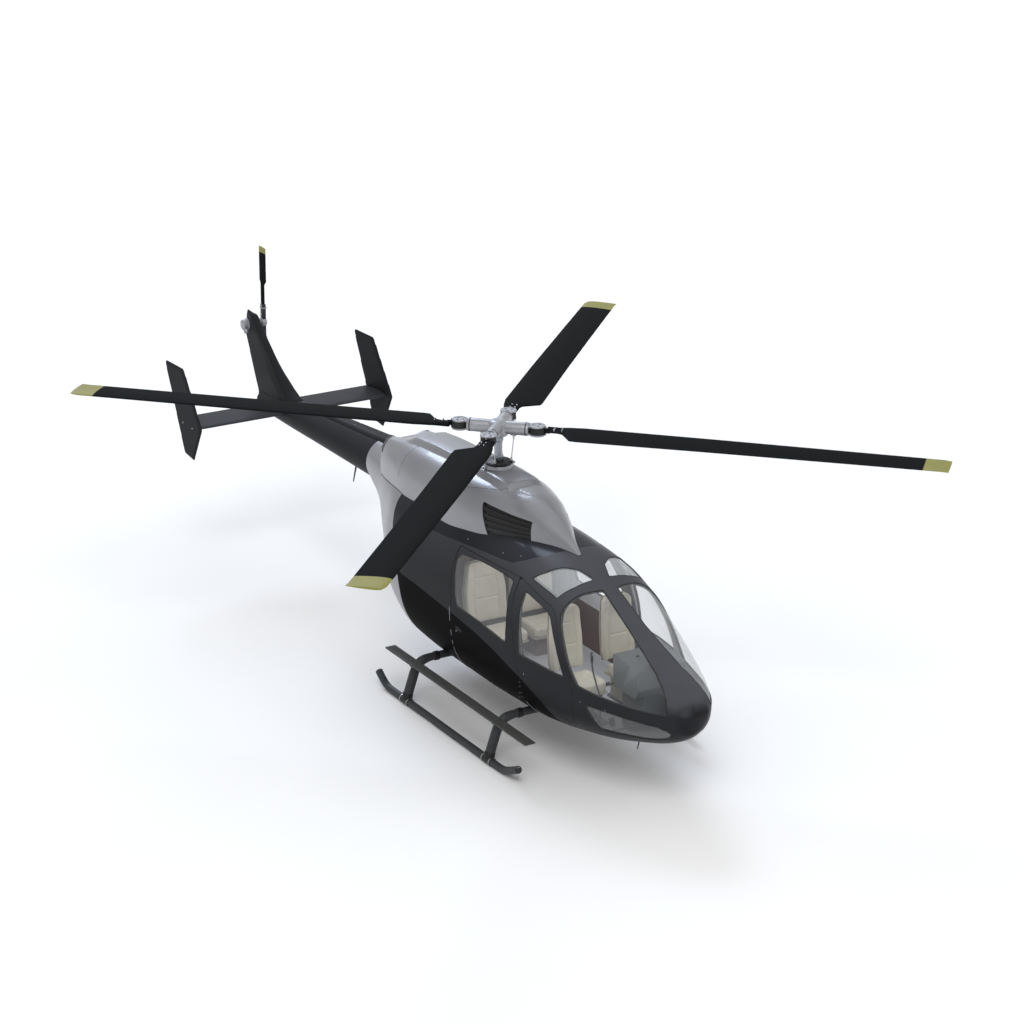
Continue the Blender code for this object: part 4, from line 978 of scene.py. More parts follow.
def foil(chord, thick, count=16):
    """Half-cosine spaced points round a symmetric aerofoil, from the trailing edge."""
    top = []
    for k in range(count + 1):
        s = 0.5 * (1 + math.cos(math.pi * k / count))
        t = 5 * thick * (0.2969 * math.sqrt(s) - 0.126 * s - 0.3516 * s**2 + 0.2843 * s**3 - 0.1036 * s**4)
        top.append((s * chord, t * chord))
    return top + [(u, -v) for u, v in reversed(top[1:-1])]


def blade_rings(rows, stations, count=16):
    table = np.array(rows, float)
    rings = []
    for r in stations:
        chord, thick, lead, twist = (float(np.interp(r, table[:, 0], table[:, k])) for k in range(1, 5))
        turn = math.radians(twist)
        rings.append([Vector((r, (lead - u) * math.cos(turn) - v * math.sin(turn),
                              (lead - u) * math.sin(turn) + v * math.cos(turn)))
                      for u, v in foil(chord, thick, count)])
    return rings


def build_main_blades():
    marks = [0.62, 0.70, 0.78, 0.80, 0.82, 0.84, 0.87, 0.90, 0.94, 0.97, 1.00, 1.03, 1.06, 1.12]
    marks += list(np.arange(1.3, 5.3, 0.2)) + [TIP_START, 5.40, 5.48, 5.54, 5.58, 5.61, ROTOR_R]
    kinds = [1 if a >= TIP_START - 1e-6 else 0 for a in marks[:-1]]
    for k in range(4):
        place = AT_HUB @ spun(45 + 90 * k)
        form = Form()
        form.rings(blade_rings(MAIN_BLADE, marks), 0, place, kinds)
        # the cuff in its elastomer drum, its collar and the bolts of the root fitting
        form.rod(place @ Vector((0.52, 0, 0)), place @ Vector((0.66, 0, 0)), 0.034, 0, 20)
        form.lathe([(0.088, -0.0418), (0.098, -0.038), (0.1, -0.030), (0.094, -0.022), (0.1, -0.012),
                    (0.094, 0.0), (0.1, 0.012), (0.094, 0.022), (0.1, 0.030), (0.098, 0.038),
                    (0.088, 0.0418)],
                   place @ Matrix.Translation((0.5, 0, 0)), 2, 40)
        for x in (0.72, 0.82):
            for y in (-0.028, 0.028):
                form.lathe([(0.010, 0.0), (0.010, 0.034), (0.006, 0.036)],
                           place @ Matrix.Translation((x, y, 0.0)), 3, 12)
        form.make(f"rotor_blade_{k + 1}", [BLADE, TIP_YELLOW, RUBBER, STEEL], "main_rotor",
                  f"main_blade_{k + 1}", "blade_black", 50)


def build_hub():
    form = Form()
    # the centre boss with its cap, and four tubes in a cross
    form.lathe([(0.090, -0.110), (0.118, -0.104), (0.125, -0.09), (0.125, 0.060), (0.118, 0.070),
                (0.100, 0.082), (0.060, 0.092), (0.056, 0.100), (0.030, 0.100),
                (0.0, 0.100)], AT_HUB, 0, 48)
    for k in range(4):
        place = AT_HUB @ spun(45 + 90 * k)
        # the arm tube with its rolled rim
        form.lathe([(0.060, 0.34), (0.060, 0.394), (0.077, 0.398), (0.083, 0.392), (0.085, 0.384),
                    (0.085, 0.30), (0.085, 0.16), (0.082, 0.08),
                    (0.082, 0.02)][::-1], place @ TO_X, 0, 48)
        form.lathe([(0.0, 0.372), (0.058, 0.372), (0.0605, 0.380), (0.0605, 0.388), (0.0, 0.3885)][::-1],
                   place @ TO_X, 2, 32)
        form.lathe([(0.0855, 0.352), (0.0875, 0.354), (0.0875, 0.364), (0.0855, 0.366)], place @ TO_X, 1,
                   48)
        for sign in (-1, 1):
            flip = place @ Matrix.Diagonal((1, 1, sign, 1))
            tongue = [(0.20, -0.045), (0.32, -0.060), (0.44, -0.060)] + arc(0.5, 0, 0.072, -125, 125, 24)
            tongue += [(0.44, 0.060), (0.32, 0.060), (0.20, 0.045)]
            form.plate(tongue, 0.0425, 0.0605, 0, 0.003, flip)
            # the round cap on the elastomer drum, with its ring of bolts
            form.lathe([(0.102, 0.0445), (0.104, 0.048), (0.104, 0.060), (0.100, 0.0645), (0.070, 0.0655),
                        (0.066, 0.062), (0.030, 0.062), (0.026, 0.0655), (0.0, 0.0660)],
                       flip @ Matrix.Translation((0.5, 0, 0)), 0, 40)
            for j in range(6):
                t = math.radians(60 * j + 30)
                spot = Matrix.Translation((0.5 + 0.083 * math.cos(t), 0.083 * math.sin(t), 0.062))
                form.lathe([(0.0085, 0), (0.0085, 0.006), (0.006, 0.008)], flip @ spot, 3, 6)
            for j in range(3):
                t = math.radians(120 * j + 60)
                spot = Matrix.Translation((0.5 + 0.048 * math.cos(t), 0.048 * math.sin(t), 0.0615))
                form.lathe([(0.0135, 0), (0.0135, 0.0012), (0.0, 0.0012)], flip @ spot, 2, 20)
        # the pin at the drum's outer side and the pitch horn under it
        form.rod(place @ Vector((0.608, 0, -0.060)), place @ Vector((0.608, 0, 0.060)), 0.009, 0, 12, 0.002)
        for sign in (-1, 1):
            form.box((0.585, -0.014, sign * 0.0525 - 0.008), (0.612, 0.014, sign * 0.0525 + 0.008), 0,
                     0.003, place)
        form.box((0.155, -0.014, -0.098), (0.235, 0.014, -0.078), 0, 0.004, place)
    form.make("hub_star", [HUB_GREY, DARK_METAL, RUBBER, STEEL], "main_rotor", "rotor_hub", "hub_metal")
    form = Form()
    form.lathe([(0.050, 2.8804), (0.050, 3.10), (0.060, 3.115), (0.060, 3.16), (0.050, 3.17), (0.050, 3.35),
                (0.064, 3.365), (0.064, 3.41), (0.056, 3.4296)], Matrix(), 0, 40)
    form.make("mast_tube", [MAST_GREY], "main_rotor", "rotor_mast", "hub_metal")


def build_swashplates():
    form = Form()
    form.lathe([(0.066, 3.0184), (0.19, 3.0184), (0.19, 3.024), (0.176, 3.036), (0.172, 3.054),
                (0.168, 3.058), (0.074, 3.058), (0.066, 3.052)], Matrix(), 0, 56)
    for turn in (0, 180):
        place = spun(turn)
        form.box((0.15, -0.022, 3.0186), (0.238, 0.022, 3.050), 0, 0.006, place)
        form.rod(place @ Vector((0.218, -0.03, 3.036)), place @ Vector((0.218, 0.03, 3.036)), 0.010, 2, 12,
                 0.002)
    for j in range(12):
        t = math.radians(30 * j + 15)
        form.lathe([(0.007, 0), (0.007, 0.006), (0.005, 0.008)],
                   Matrix.Translation((0.181 * math.cos(t), 0.181 * math.sin(t), 3.026)), 2, 6)
    form.make("swashplate_base", [HUB_GREY, BLACK_METAL, STEEL], "airframe", "swashplate_fixed",
              "hub_metal")
    form = Form()
    form.lathe([(0.051, 3.066), (0.155, 3.066), (0.168, 3.070), (0.170, 3.078), (0.170, 3.088),
                (0.164, 3.096), (0.150, 3.100), (0.090, 3.102), (0.070, 3.108),
                (0.051, 3.108)], Matrix(), 1, 56)
    form.lathe([(0.171, 3.074), (0.174, 3.076), (0.174, 3.090), (0.171, 3.092)], Matrix(), 1, 56)
    for k in range(4):
        place = spun(45 + 90 * k)
        form.box((0.135, -0.020, 3.072), (0.188, 0.020, 3.112), 1, 0.006, place)
        low, high = Vector((0.168, 0, 3.12)), Vector((0.20, 0, ROTOR_Z - 0.105))
        path = [low, low.lerp(high, 0.12), low.lerp(high, 0.14), low.lerp(high, 0.86),
                low.lerp(high, 0.88), high]
        form.tube([place @ q for q in path], [0.012, 0.012, 0.0070, 0.0070, 0.012, 0.012], 2, 16)
        for q in (low, high):
            form.rod(place @ (q - Vector((0, 0.016, 0))), place @ (q + Vector((0, 0.016, 0))), 0.017, 2,
                     16, 0.003)
    form.make("swashplate_ring", [HUB_GREY, BLACK_METAL, STEEL], "main_rotor", "swashplate_turning",
              "dark_metal")


# Trim on the skins
def polar_at_x(rows, y, x):
    """The polar angle of the upper surface's point at a distance from the middle."""
    _, zc, zt, w, up, _ = section_at(rows, y)
    z = (zt - zc) * (1 - min(1.0, abs(x) / w) ** up) ** (1 / up)
    return math.atan2(z, abs(x))


def surface_frame(shape, side, y, phi, inset=0.0):
    """A matrix on the skin: its x runs aft, its y up along the section and its z points out."""
    at = surface_path(shape, side, [(y, phi)], inset)[0]
    aft = surface_path(shape, side, [(y + 0.004, phi)], inset)[0] - at
    up = surface_path(shape, side, [(y, phi + 0.004)], inset)[0] - at
    out = aft.cross(up).normalized() * side
    aft.normalize()
    turn = Matrix((aft, out.cross(aft), out)).transposed()
    return Matrix.Translation(at) @ turn.to_4x4()


def build_seals():
    """Black rubber round every window."""
    fixed = Form()
    for side_name, side in SIDES.items():
        for outline in (WINDSHIELD, SKYLIGHT, CHIN):
            fixed.tube(surface_path(hull_points, side, window_loop(outline, shrink=0.001), 0.003), 0.0065,
                       0, 8, True)
        for door, outline in (("front_door", FRONT_WINDOW), ("rear_door", REAR_WINDOW)):
            form = Form()
            form.tube(surface_path(hull_points, side, window_loop(outline, shrink=0.001), 0.003), 0.0065,
                      0, 8, True)
            form.make(f"{door}_seal_{side_name}", [RUBBER], f"{door}_{side_name}", (), "blade_black", 80)
    fixed.make("window_seals", [RUBBER], "airframe", (), "blade_black", 80)


# light grey bars along the doors' aft seams and on the belly under them, painted highlights of the seams
# (the top one also stands for a door handle): upper y and z, lower y and z
SEAM_HIGHLIGHT_BARS = [(-0.332, 1.416, -0.347, 1.233), (-0.372, 1.12, -0.380, 1.05), (-0.386, 0.98, -0.392, 0.93),
             (-0.395, 0.89, -0.43, 0.56), (-2.05, 0.76, -2.07, 0.57)]


def build_trim():
    """Seams, a black bar painted as the shade of the slit at the cowl's back, light grey bars painted as
    highlights on the door seams, handles and studs on the hull, the doors and the cowl.
    """
    form = Form()
    foot = cowl_foot()
    for side in (-1, 1):
        form.tube(surface_path(cowl_points, side, foot[::2], 0.0), 0.005, 0, 8)
        # the cowl's panel lines
        deck = [(0.55, 0.53), (0.24, 0.53), (-0.18, 0.43), (-0.50, 0.32), (-0.64, 0.25)]
        ring = [(y, polar_at_x(COWL, y, x)) for y, x in spline(deck, 0.04, False)]
        form.tube(surface_path(cowl_points, side, ring, 0.0004), 0.0022, 0, 6)
        for y, low in ((0.62, 0.10), (1.55, 0.12)):
            ring = [(y, a) for a in np.linspace(low + 0.22, 1.12, 22)]
            form.tube(surface_path(cowl_points, side, ring, 0.0004), 0.0022, 0, 6)
        # a black bar across the cowl's aft end: painted shade of the dark slit there
        shade_slit = [(2.318, a) for a in np.linspace(0.52, 0.98, 12)]
        form.tube(surface_path(cowl_points, side, shade_slit, 0.001), 0.009, 0, 8)
    form.make("cowl_seams_and_slit_shade", [RUBBER], "airframe", (), "dark_metal", 80)
    form = Form()
    for side in (-1, 1):
        # light grey bars along the aft seams of the doors: painted highlights of the seams
        for y0, z0, y1, z1 in SEAM_HIGHLIGHT_BARS:
            bar = [(y0 + (y1 - y0) * t, polar_at(BODY, y0, z0 + (z1 - z0) * t))
                   for t in np.linspace(0, 1, 6)]
            form.tube(surface_path(hull_points, side, bar, -0.001), 0.004, 0, 8)
        for y, z in ((-1.155, 2.353), (-1.456, 2.40), (-0.40, 2.30), (0.45, 2.26)):
            form.lathe([(0.008, 0), (0.007, 0.002), (0, 0.003)],
                       surface_frame(hull_points, side, y, polar_at(BODY, y, z)), 0, 12)
        for y, z in ((-3.20, 1.18), (-3.45, 1.14), (-3.05, 0.80), (-3.60, 1.20)):
            form.lathe([(0.006, 0), (0.005, 0.0015), (0, 0.002)],
                       surface_frame(hull_points, side, y, polar_at(BODY, y, z)), 0, 12)
    form.make("hull_studs_and_seam_highlights", [HUB_GREY], "airframe", (), "hub_metal", 50)
    for side_name, side in SIDES.items():
        for door, y, z in (("front_door", -2.17, 1.20), ("rear_door", -0.56, 1.19)):
            form = Form()
            place = surface_frame(hull_points, side, y, polar_at(BODY, y, z), 0.001)
            rim = rounded([(-0.075, -0.024), (0.075, -0.024), (0.075, 0.024), (-0.075, 0.024)], 0.02, 0.008)
            form.plate(rim, -0.004, 0.0022, 0, 0.0, place)
            form.plate([(a * 0.90, b * 0.78) for a, b in rim], 0.0, 0.0045, 1, 0.001, place)
            form.lathe([(0.009, 0), (0.009, 0.002), (0, 0.0025)],
                       place @ Matrix.Translation((0.055, 0.040, 0)), 2, 16)
            form.make(f"{door}_handle_{side_name}", [RUBBER, CHARCOAL, HUB_GREY], f"{door}_{side_name}",
                      (), "dark_metal", 40)


def slab(form, verts, tris, low, high, kind, place):
    """A filled outline pushed from low to high."""
    n = len(verts)
    points = [(a, b, low) for a, b in verts] + [(a, b, high) for a, b in verts]
    faces = [tuple(t)[::-1] for t in tris.tolist()] + [tuple(i + n for i in t) for t in tris.tolist()]
    faces += [(a, b, b + n, a + n) for a, b in border_edges(tris)]
    form.add(points, faces, kind, place)


def build_back_wall():
    """The wall that closes the cowl behind, with a hole for each exhaust pipe."""
    y = BACK_WALL_Y
    angles = np.linspace(0.16, HALF, 28)
    edge = cowl_points(np.full(len(angles), y), angles, 0.004)
    right = [(float(q[0]), float(q[2])) for q in edge]
    outline = right[:-1] + [(-a, b) for a, b in reversed(right)]
    holes = [arc(side * EXHAUST_X, EXHAUST_Z, EXHAUST_R, 0, 360, 32)[:-1] for side in (-1, 1)]
    verts, tris = fill(outline, holes, (), 0.06)
    form = Form()
    up = Matrix(((1, 0, 0, 0), (0, 0, -1, 0), (0, 1, 0, 0), (0, 0, 0, 1)))
    slab(form, verts, tris, 0.0, 0.018, 0, Matrix.Translation((0, y, 0)) @ up)
    for side in (-1, 1):
        ring = [(a, y + 0.002, b) for a, b in arc(side * EXHAUST_X, EXHAUST_Z, 0.092, 0, 360, 36)[:-1]]
        form.tube(ring, 0.006, 1, 8, True)
    form.make("cowl_back", [SILVER, DARK_METAL], "airframe", (), "silver", 40)


def build_spine():
    """The cover of the tail drive shaft on top of the boom, from the cowl to the fin."""
    form = Form()
    rings = []
    for y in list(np.arange(2.42, 5.45, 0.10)) + [5.50]:
        rows = BODY if y < TAIL_START else BOOM
        top = float(section_at(rows, y)[2])
        half = float(np.interp(y, [2.42, 3.0, 5.50], [0.130, 0.120, 0.075]))
        rise = float(np.interp(y, [2.42, 2.6, 5.3, 5.50], [0.022, 0.034, 0.026, 0.018]))
        shape = [(-1.0, -0.045), (-0.96, -0.010), (-0.88, 0.4 * rise), (-0.74, 0.85 * rise),
                 (-0.58, rise), (0, rise * 1.12), (0.58, rise), (0.74, 0.85 * rise), (0.88, 0.4 * rise),
                 (0.96, -0.010), (1.0, -0.045)]
        rings.append([Vector((u * half, y, top + v)) for u, v in shape])
    form.rings(rings, 0)
    for y in np.arange(3.25, 5.4, 0.5):
        for side in (-1, 1):
            form.lathe([(0.006, 0), (0.005, 0.002), (0, 0.003)],
                       Matrix.Translation((side * 0.045, y, section_at(BOOM, y)[2] + 0.032)), 1, 10)
    form.lathe([(0.030, 0), (0.030, 0.02), (0.022, 0.05)], Matrix.Translation((0, 3.785, 1.872)), 0, 20)
    form.make("boom_spine", [BOOM_PAINT, HUB_GREY], "airframe", (), "tail_charcoal", 50)
    form = Form()
    rings = []
    for y, scale in ((6.600, 0.80), (6.620, 0.97), (6.630, 0.86), (6.636, 0.55)):
        angles = np.radians(np.arange(0, 360, 12))
        _, zc, zt, w, up, _ = section_at(BOOM, BOOM_END)
        ring = []
        for a in angles:
            c, d = math.cos(a), math.sin(a)
            rho = (abs(c) ** up + abs(d) ** up) ** (1 / up)
            ring.append(Vector((w * c / rho * scale, y, zc + (zt - zc) * d / rho * scale)))
        rings.append(ring)
    form.rings(rings, 0)
    form.make("boom_end", [BOOM_PAINT], "airframe", (), "tail_charcoal", 50)


# Tail
FIN = [(5.46, 2.16), (5.52, 2.295), (5.64, 2.335), (5.80, 2.41), (6.08, 2.59), (6.57, 2.98), (6.83, 3.22),
       (7.09, 3.24), (7.168, 2.90), (7.04, 2.63), (6.86, 2.30), (6.72, 2.03), (6.68, 1.94), (6.64, 1.94),
       (6.64, 2.08)]
END_PLATE = [(6.67, 2.83), (6.08, 2.85), (5.57, 2.18), (5.52, 2.10), (5.80, 1.58), (6.09, 1.61)]
TAIL_HUB = Vector((0.20, 6.99, 3.04))


def pillow(form, outline, place, edge, kind=0, spacing=0.03):
    """A plate over a (u, v) outline whose half thickness comes from edge(points, distance to the rim)."""
    loop = resample(outline, spacing)
    verts, tris = fill(loop, (), (), spacing)
    away = distance(verts, [(loop, True)])
    half = edge(verts, away)
    rim = away < 1e-6
    points = [(u, v, h) for (u, v), h in zip(verts, half)]
    ids = {}
    for k, (u, v) in enumerate(verts):
        if rim[k] and half[k] < 1e-5:
            ids[k] = k
        else:
            ids[k] = len(points)
            points.append((u, v, -half[k]))
    faces = [tuple(t) for t in tris] + [tuple(ids[i] for i in t)[::-1] for t in tris.tolist()]
    for a, b in border_edges(tris):
        if ids[a] != a or ids[b] != b:
            faces.append(tuple(dict.fromkeys([b, a, ids[a], ids[b]])))
    form.add(points, faces, kind, place)


SIDE_ON = Matrix(((0, 0, 1, 0), (1, 0, 0, 0), (0, 1, 0, 0), (0, 0, 0, 1)))


def build_tail():
    lead = np.array([(1.94, 6.60), (2.08, 6.50), (2.16, 5.46), (2.335, 5.62), (2.41, 5.80), (2.59, 6.08),
                     (2.98, 6.57), (3.22, 6.83), (3.24, 6.88)])
    trail = np.array([(1.94, 6.70), (2.03, 6.72), (2.30, 6.86), (2.63, 7.04), (2.90, 7.17), (3.24, 7.09)])

    def fin_half(p, away):
        front = np.interp(p[:, 1], lead[:, 0], lead[:, 1])
        back = np.interp(p[:, 1], trail[:, 0], trail[:, 1])
        share = np.clip((p[:, 0] - front) / (back - front), 0, 1)
        body = 0.055 * np.clip(1.32 - 1.05 * share, 0, 1)
        nose = np.sqrt(np.clip(1 - (1 - np.clip(away / 0.06, 0, 1)) ** 2, 0, 1))
        swell = 1 + 0.9 * (1 - ramp(p[:, 1], 2.25, 2.75))
        return np.minimum(body, 0.055) * swell * nose

    form = Form()
    pillow(form, rounded(FIN, 0.05, 0.02), SIDE_ON, fin_half, 0, 0.025)
    form.make("fin_surface", [TAIL_PAINT], "airframe", "vertical_fin", "tail_charcoal", 60)
    # the stabilizer's aerofoil takes the lighter copy of the tail paint, painted light; its end plates keep
    # the tail paint
    form = Form()
    rings = []
    for x in np.linspace(-1.478, 1.478, 25):
        rings.append([Vector((x, 5.66 + u, 2.08 + v)) for u, v in foil(0.61, 0.09, 20)])
    form.rings(rings, 0)

    def plate_half(p, away):
        return 0.02 * np.sqrt(np.clip(1 - (1 - np.clip(away / 0.05, 0, 1)) ** 2, 0, 1))

    for side in (-1, 1):
        pillow(form, rounded(END_PLATE, 0.05, 0.02), Matrix.Translation((side * 1.5004, 0, 0)) @ SIDE_ON,
               plate_half, 1)
    for side in (-1, 1):
        for y in (5.80, 6.10):
            form.lathe([(0.010, 0), (0.009, 0.003), (0.0, 0.004)],
                       Matrix.Translation((side * 1.5198, y, 2.06))
                       @ Matrix.Rotation(math.radians(90 * side), 4, "Y"), 2, 12)
    form.make("stabilizer_surface", [STAB_LIT_COPY, TAIL_PAINT, STEEL], "airframe", "stabilizer",
              "tail_charcoal", 50)
    form = Form()
    turn = Matrix.Translation(TAIL_HUB) @ TO_X
    form.lathe([(0.0, -0.350), (0.030, -0.350), (0.034, -0.340), (0.075, -0.330), (0.078, -0.30),
                (0.078, -0.275), (0.090, -0.2694), (0.090, -0.256)], turn, 0, 32)
    for j in range(6):
        t = math.radians(60 * j)
        form.lathe([(0.009, 0), (0.009, -0.010), (0.006, -0.012)],
                   turn @ Matrix.Translation((0.062 * math.cos(t), 0.062 * math.sin(t), -0.328)), 1, 6)
    form.rod((-0.10, 6.99, 3.04), (-0.10, 6.93, 2.93), 0.035, 0, 20, 0.005)
    form.make("tail_gearcase", [HUB_GREY, STEEL], "airframe", "tail_gearbox", "hub_metal")
    form = Form()
    form.lathe([(0.045, -0.1446), (0.045, -0.08), (0.038, -0.075), (0.038, -0.0454)], turn, 0, 32)
    form.make("tail_mast_tube", [HUB_GREY], "tail_rotor", "tail_rotor_mast", "hub_metal")
    form = Form()
    form.lathe([(0.045, -0.045), (0.062, -0.040), (0.065, -0.030), (0.065, 0.020), (0.058, 0.032),
                (0.030, 0.040), (0.024, 0.050), (0.0, 0.050)], turn, 0, 36)
    for sign in (-1, 1):
        flip = Matrix.Translation(TAIL_HUB) @ Matrix.Diagonal((1, 1, sign, 1))
        form.box((-0.026, -0.044, 0.03), (0.026, 0.044, 0.268), 1, 0.008, flip)
        for z in (0.12, 0.24):
            form.rod(flip @ Vector((-0.034, 0, z)), flip @ Vector((0.034, 0, z)), 0.014, 2, 12, 0.002)
        form.box((-0.034, -0.052, 0.205), (0.034, 0.052, 0.222), 0, 0.004, flip)
        form.tube([flip @ Vector(q) for q in ((0.045, 0.03, 0.04), (0.048, 0.05, 0.12),
                                              (0.034, 0.05, 0.21))], 0.006, 2, 10)
    form.make("tail_hub_yoke", [HUB_GREY, DARK_METAL, STEEL], "tail_rotor", "tail_rotor_hub", "hub_metal")
    rows = [(0.2704, 0.12, 0.20, 0.06, 0), (0.56, 0.12, 0.18, 0.06, 0), (0.62, 0.21, 0.12, 0.09, 0),
            (1.11, 0.21, 0.10, 0.09, 0)]
    marks = [0.2704, 0.35, 0.45, 0.56, 0.575, 0.59, 0.605, 0.62, 0.72, 0.82, 0.92, 1.03, 1.07, 1.11]
    kinds = [1 if a > 1.02 else 0 for a in marks[:-1]]
    for k, angle in enumerate((0, 180)):
        place = Matrix.Translation(TAIL_HUB) @ Matrix.Rotation(math.radians(angle), 4, "X")
        place = place @ Matrix.Rotation(math.radians(-90), 4, "Y")
        Form().rings(blade_rings(rows, marks), 0, place, kinds).make(
            f"tail_rotor_blade_{k + 1}", [BLADE, TIP_YELLOW], "tail_rotor", f"tail_blade_{k + 1}",
            "blade_black", 50)


# Skids and steps
SKID_X = 1.27
SKID_R = 0.048
CROSS_Y = (0.12, -1.94)


def build_gear():
    low = SKID_R
    skid = [(0.85, 0.185), (0.74, 0.112), (0.65, 0.067), (0.56, low), (0.2, low), (-1.0, low), (-2.0, low),
            (-2.22, low), (-2.34, 0.067), (-2.45, 0.107), (-2.65, 0.197)]
    path = [(y, z) for y, z in spline(skid, 0.04, False)]
    for side_name, side in SIDES.items():
        x = side * SKID_X
        form = Form()
        form.tube([(x, y, max(z, low)) for y, z in path], low, 0, 28)
        # wear shoes under the tube, with their clips
        for y0, y1 in ((-2.15, -1.55), (-1.25, -0.65), (-0.40, 0.50)):
            shoe = arc(0, 0, low - 0.0002, 205, 335, 14)
            inner = [(a * 0.93, b * 0.93) for a, b in reversed(shoe)]
            shoe = shoe + inner
            turn = Matrix.Translation((x, y1, low)) @ Matrix.Rotation(math.radians(90), 4, "X")
            form.plate([(a * 1.035, max(b * 1.035, 0.0002 - low)) for a, b in shoe], 0, y1 - y0, 1, 0.0,
                       turn)
        for y in CROSS_Y:
            # the saddle that holds the cross tube
            form.tube([(x, y + dy, low) for dy in (-0.105, -0.102, 0.102, 0.105)],
                      [low + 0.001, low + 0.006, low + 0.006, low + 0.001], 1, 28)
            for dy in (-0.086, 0.086):
                form.tube([(x, y + dy - 0.008, low), (x, y + dy + 0.008, low)], low + 0.009, 2, 28)
        for y, z in ((0.84, 0.172), (-2.64, 0.185)):
            form.rod((x - 0.02, y, z + 0.038), (x + 0.02, y, z + 0.038), 0.006, 2, 10, 0.001)
        clip_low(form)
        form.make(f"skid_tube_{side_name}", [SKID_PAINT, BLACK_METAL, STEEL], "airframe",
                  f"skid_{side_name}", "dark_metal")
        build_step(side_name, side)
    half = [(1.262, 0.075), (1.225, 0.20), (1.19, 0.305), (1.155, 0.41), (1.115, 0.485), (1.05, 0.545),
            (0.97, 0.568), (0.88, 0.575), (0.5, 0.575)]
    half = spline(half, 0.03, False)
    for name, y in zip(("rear", "front"), CROSS_Y):
        line = [(a, y, b) for a, b in half] + [(-a, y, b) for a, b in reversed(half)]
        form = Form()
        form.tube(line, [float(np.interp(abs(q[0]), [0.90, 1.06], [0.050, 0.062])) for q in line], 0, 28)
        for side in (-1, 1):
            low, high = Vector((side * 1.262, y, 0.078)), Vector((side * 1.243, y, 0.15))
            form.tube([low, low.lerp(high, 0.1), low.lerp(high, 0.9), high], [0.063, 0.069, 0.067, 0.063],
                      1, 28)
            # the clamp under the belly
            form.tube([(side * 0.80, y, 0.575), (side * 0.805, y, 0.575), (side * 0.865, y, 0.575),
                       (side * 0.87, y, 0.575)],
                      [0.052, 0.060, 0.060, 0.052], 1, 28)
        form.make(f"cross_tube_{name}_skin", [SKID_PAINT, BLACK_METAL], "airframe", f"cross_tube_{name}",
                  "dark_metal")


def clip_low(form):
    """Keep every point on or over the ground."""
    form.verts = [(a, b, max(c, 0.0002)) for a, b, c in form.verts]


def build_step(side_name, side):
    """The boarding step: a thin hollow plank with a ribbed tread and a foot on each cross tube."""
    form = Form()
    middle = side * 1.1825
    plank = [(-0.0725, -2.77), (0.0725, -2.77), (0.0725, 0.70), (-0.0725, 0.70)]
    form.plate(plank, 0.549, 0.5705, 0, 0.004, Matrix.Translation((middle, 0, 0)))
    for k in range(9):
        dx = -0.056 + 0.014 * k
        form.box((middle + dx - 0.004, -2.75, 0.569), (middle + dx + 0.004, 0.68, 0.573), 1, 0.001)
    for y in CROSS_Y:
        outline = [(-0.05, 0.0), (-0.05, -0.02), (-0.035, -0.058), (0.035, -0.058), (0.05, -0.02),
                   (0.05, 0.0)]
        turn = Matrix.Translation((side * 1.113 if side > 0 else side * 1.205, y, 0.552)) @ SIDE_ON
        form.plate(outline, 0.0, 0.092, 2, 0.004, turn)
        for dy in (-0.034, 0.034):
            form.lathe([(0.008, 0), (0.008, 0.004), (0.005, 0.006)],
                       Matrix.Translation((middle, y + dy, 0.5725)), 3, 6)
    form.make(f"step_plank_{side_name}", [STEP_PAINT, TREAD, SKID_PAINT, STEEL], "airframe",
              f"step_{side_name}", "dark_metal")


# Cabin
FLOOR_TOP = 0.70
FRONT_SEAT_X = 0.37


def seat_forms(width, wide_top, tall, deep):
    """Base shapes of a back and a cushion, each centred on x = 0.
    The back stands on z = 0 and faces -Y."""
    half = width / 2
    back = [(-half * 0.94, 0.0), (-half, 0.10), (-half, tall * 0.55), (-wide_top, tall * 0.86)]
    back += arc(-wide_top + 0.09, tall - 0.09, 0.09, 170, 100, 5)[1:]
    back += [(-q[0], q[1]) for q in reversed(back)]
    cushion = rounded([(-half, 0.0), (-half, -deep), (half, -deep), (half, 0.0)], 0.05, 0.03)
    return back, cushion


PAD_VOXEL = 0.014
PAD_PRESSURE = 4.0
PAD_CAP = 0.016


def puffed(ob):
    """Voxel remesh, blow up with cloth pressure and apply. The cap limits how far a point may move."""
    mod = ob.modifiers.new("remesh", "REMESH")
    mod.mode = "VOXEL"
    mod.voxel_size = PAD_VOXEL
    mod.use_smooth_shade = True
    apply_all(ob)
    rest = np.array([v.co[:] for v in ob.data.vertices])
    cloth = ob.modifiers.new("cloth", "CLOTH")
    settings = cloth.settings
    settings.quality = 5
    settings.mass = 0.3
    settings.tension_stiffness = 30
    settings.compression_stiffness = 30
    settings.shear_stiffness = 15
    settings.bending_stiffness = 5.0
    settings.use_pressure = True
    settings.uniform_pressure_force = PAD_PRESSURE
    settings.effector_weights.gravity = 0
    cloth.collision_settings.use_collision = False
    cloth.point_cache.frame_start = 1
    cloth.point_cache.frame_end = 20
    for k in range(1, 21):
        bpy.context.scene.frame_set(k)
    apply_all(ob)
    moved = relax(np.array([v.co[:] for v in ob.data.vertices]) - rest, ob.data, 40)
    size = np.linalg.norm(moved, axis=1)
    share = np.minimum(1.0, PAD_CAP / np.maximum(size, 1e-9))
    rest = rest + moved * share[:, None]
    bpy.context.scene.frame_set(1)
    ob.data.vertices.foreach_set("co", rest.ravel())
    ob.data.update()
    return ob


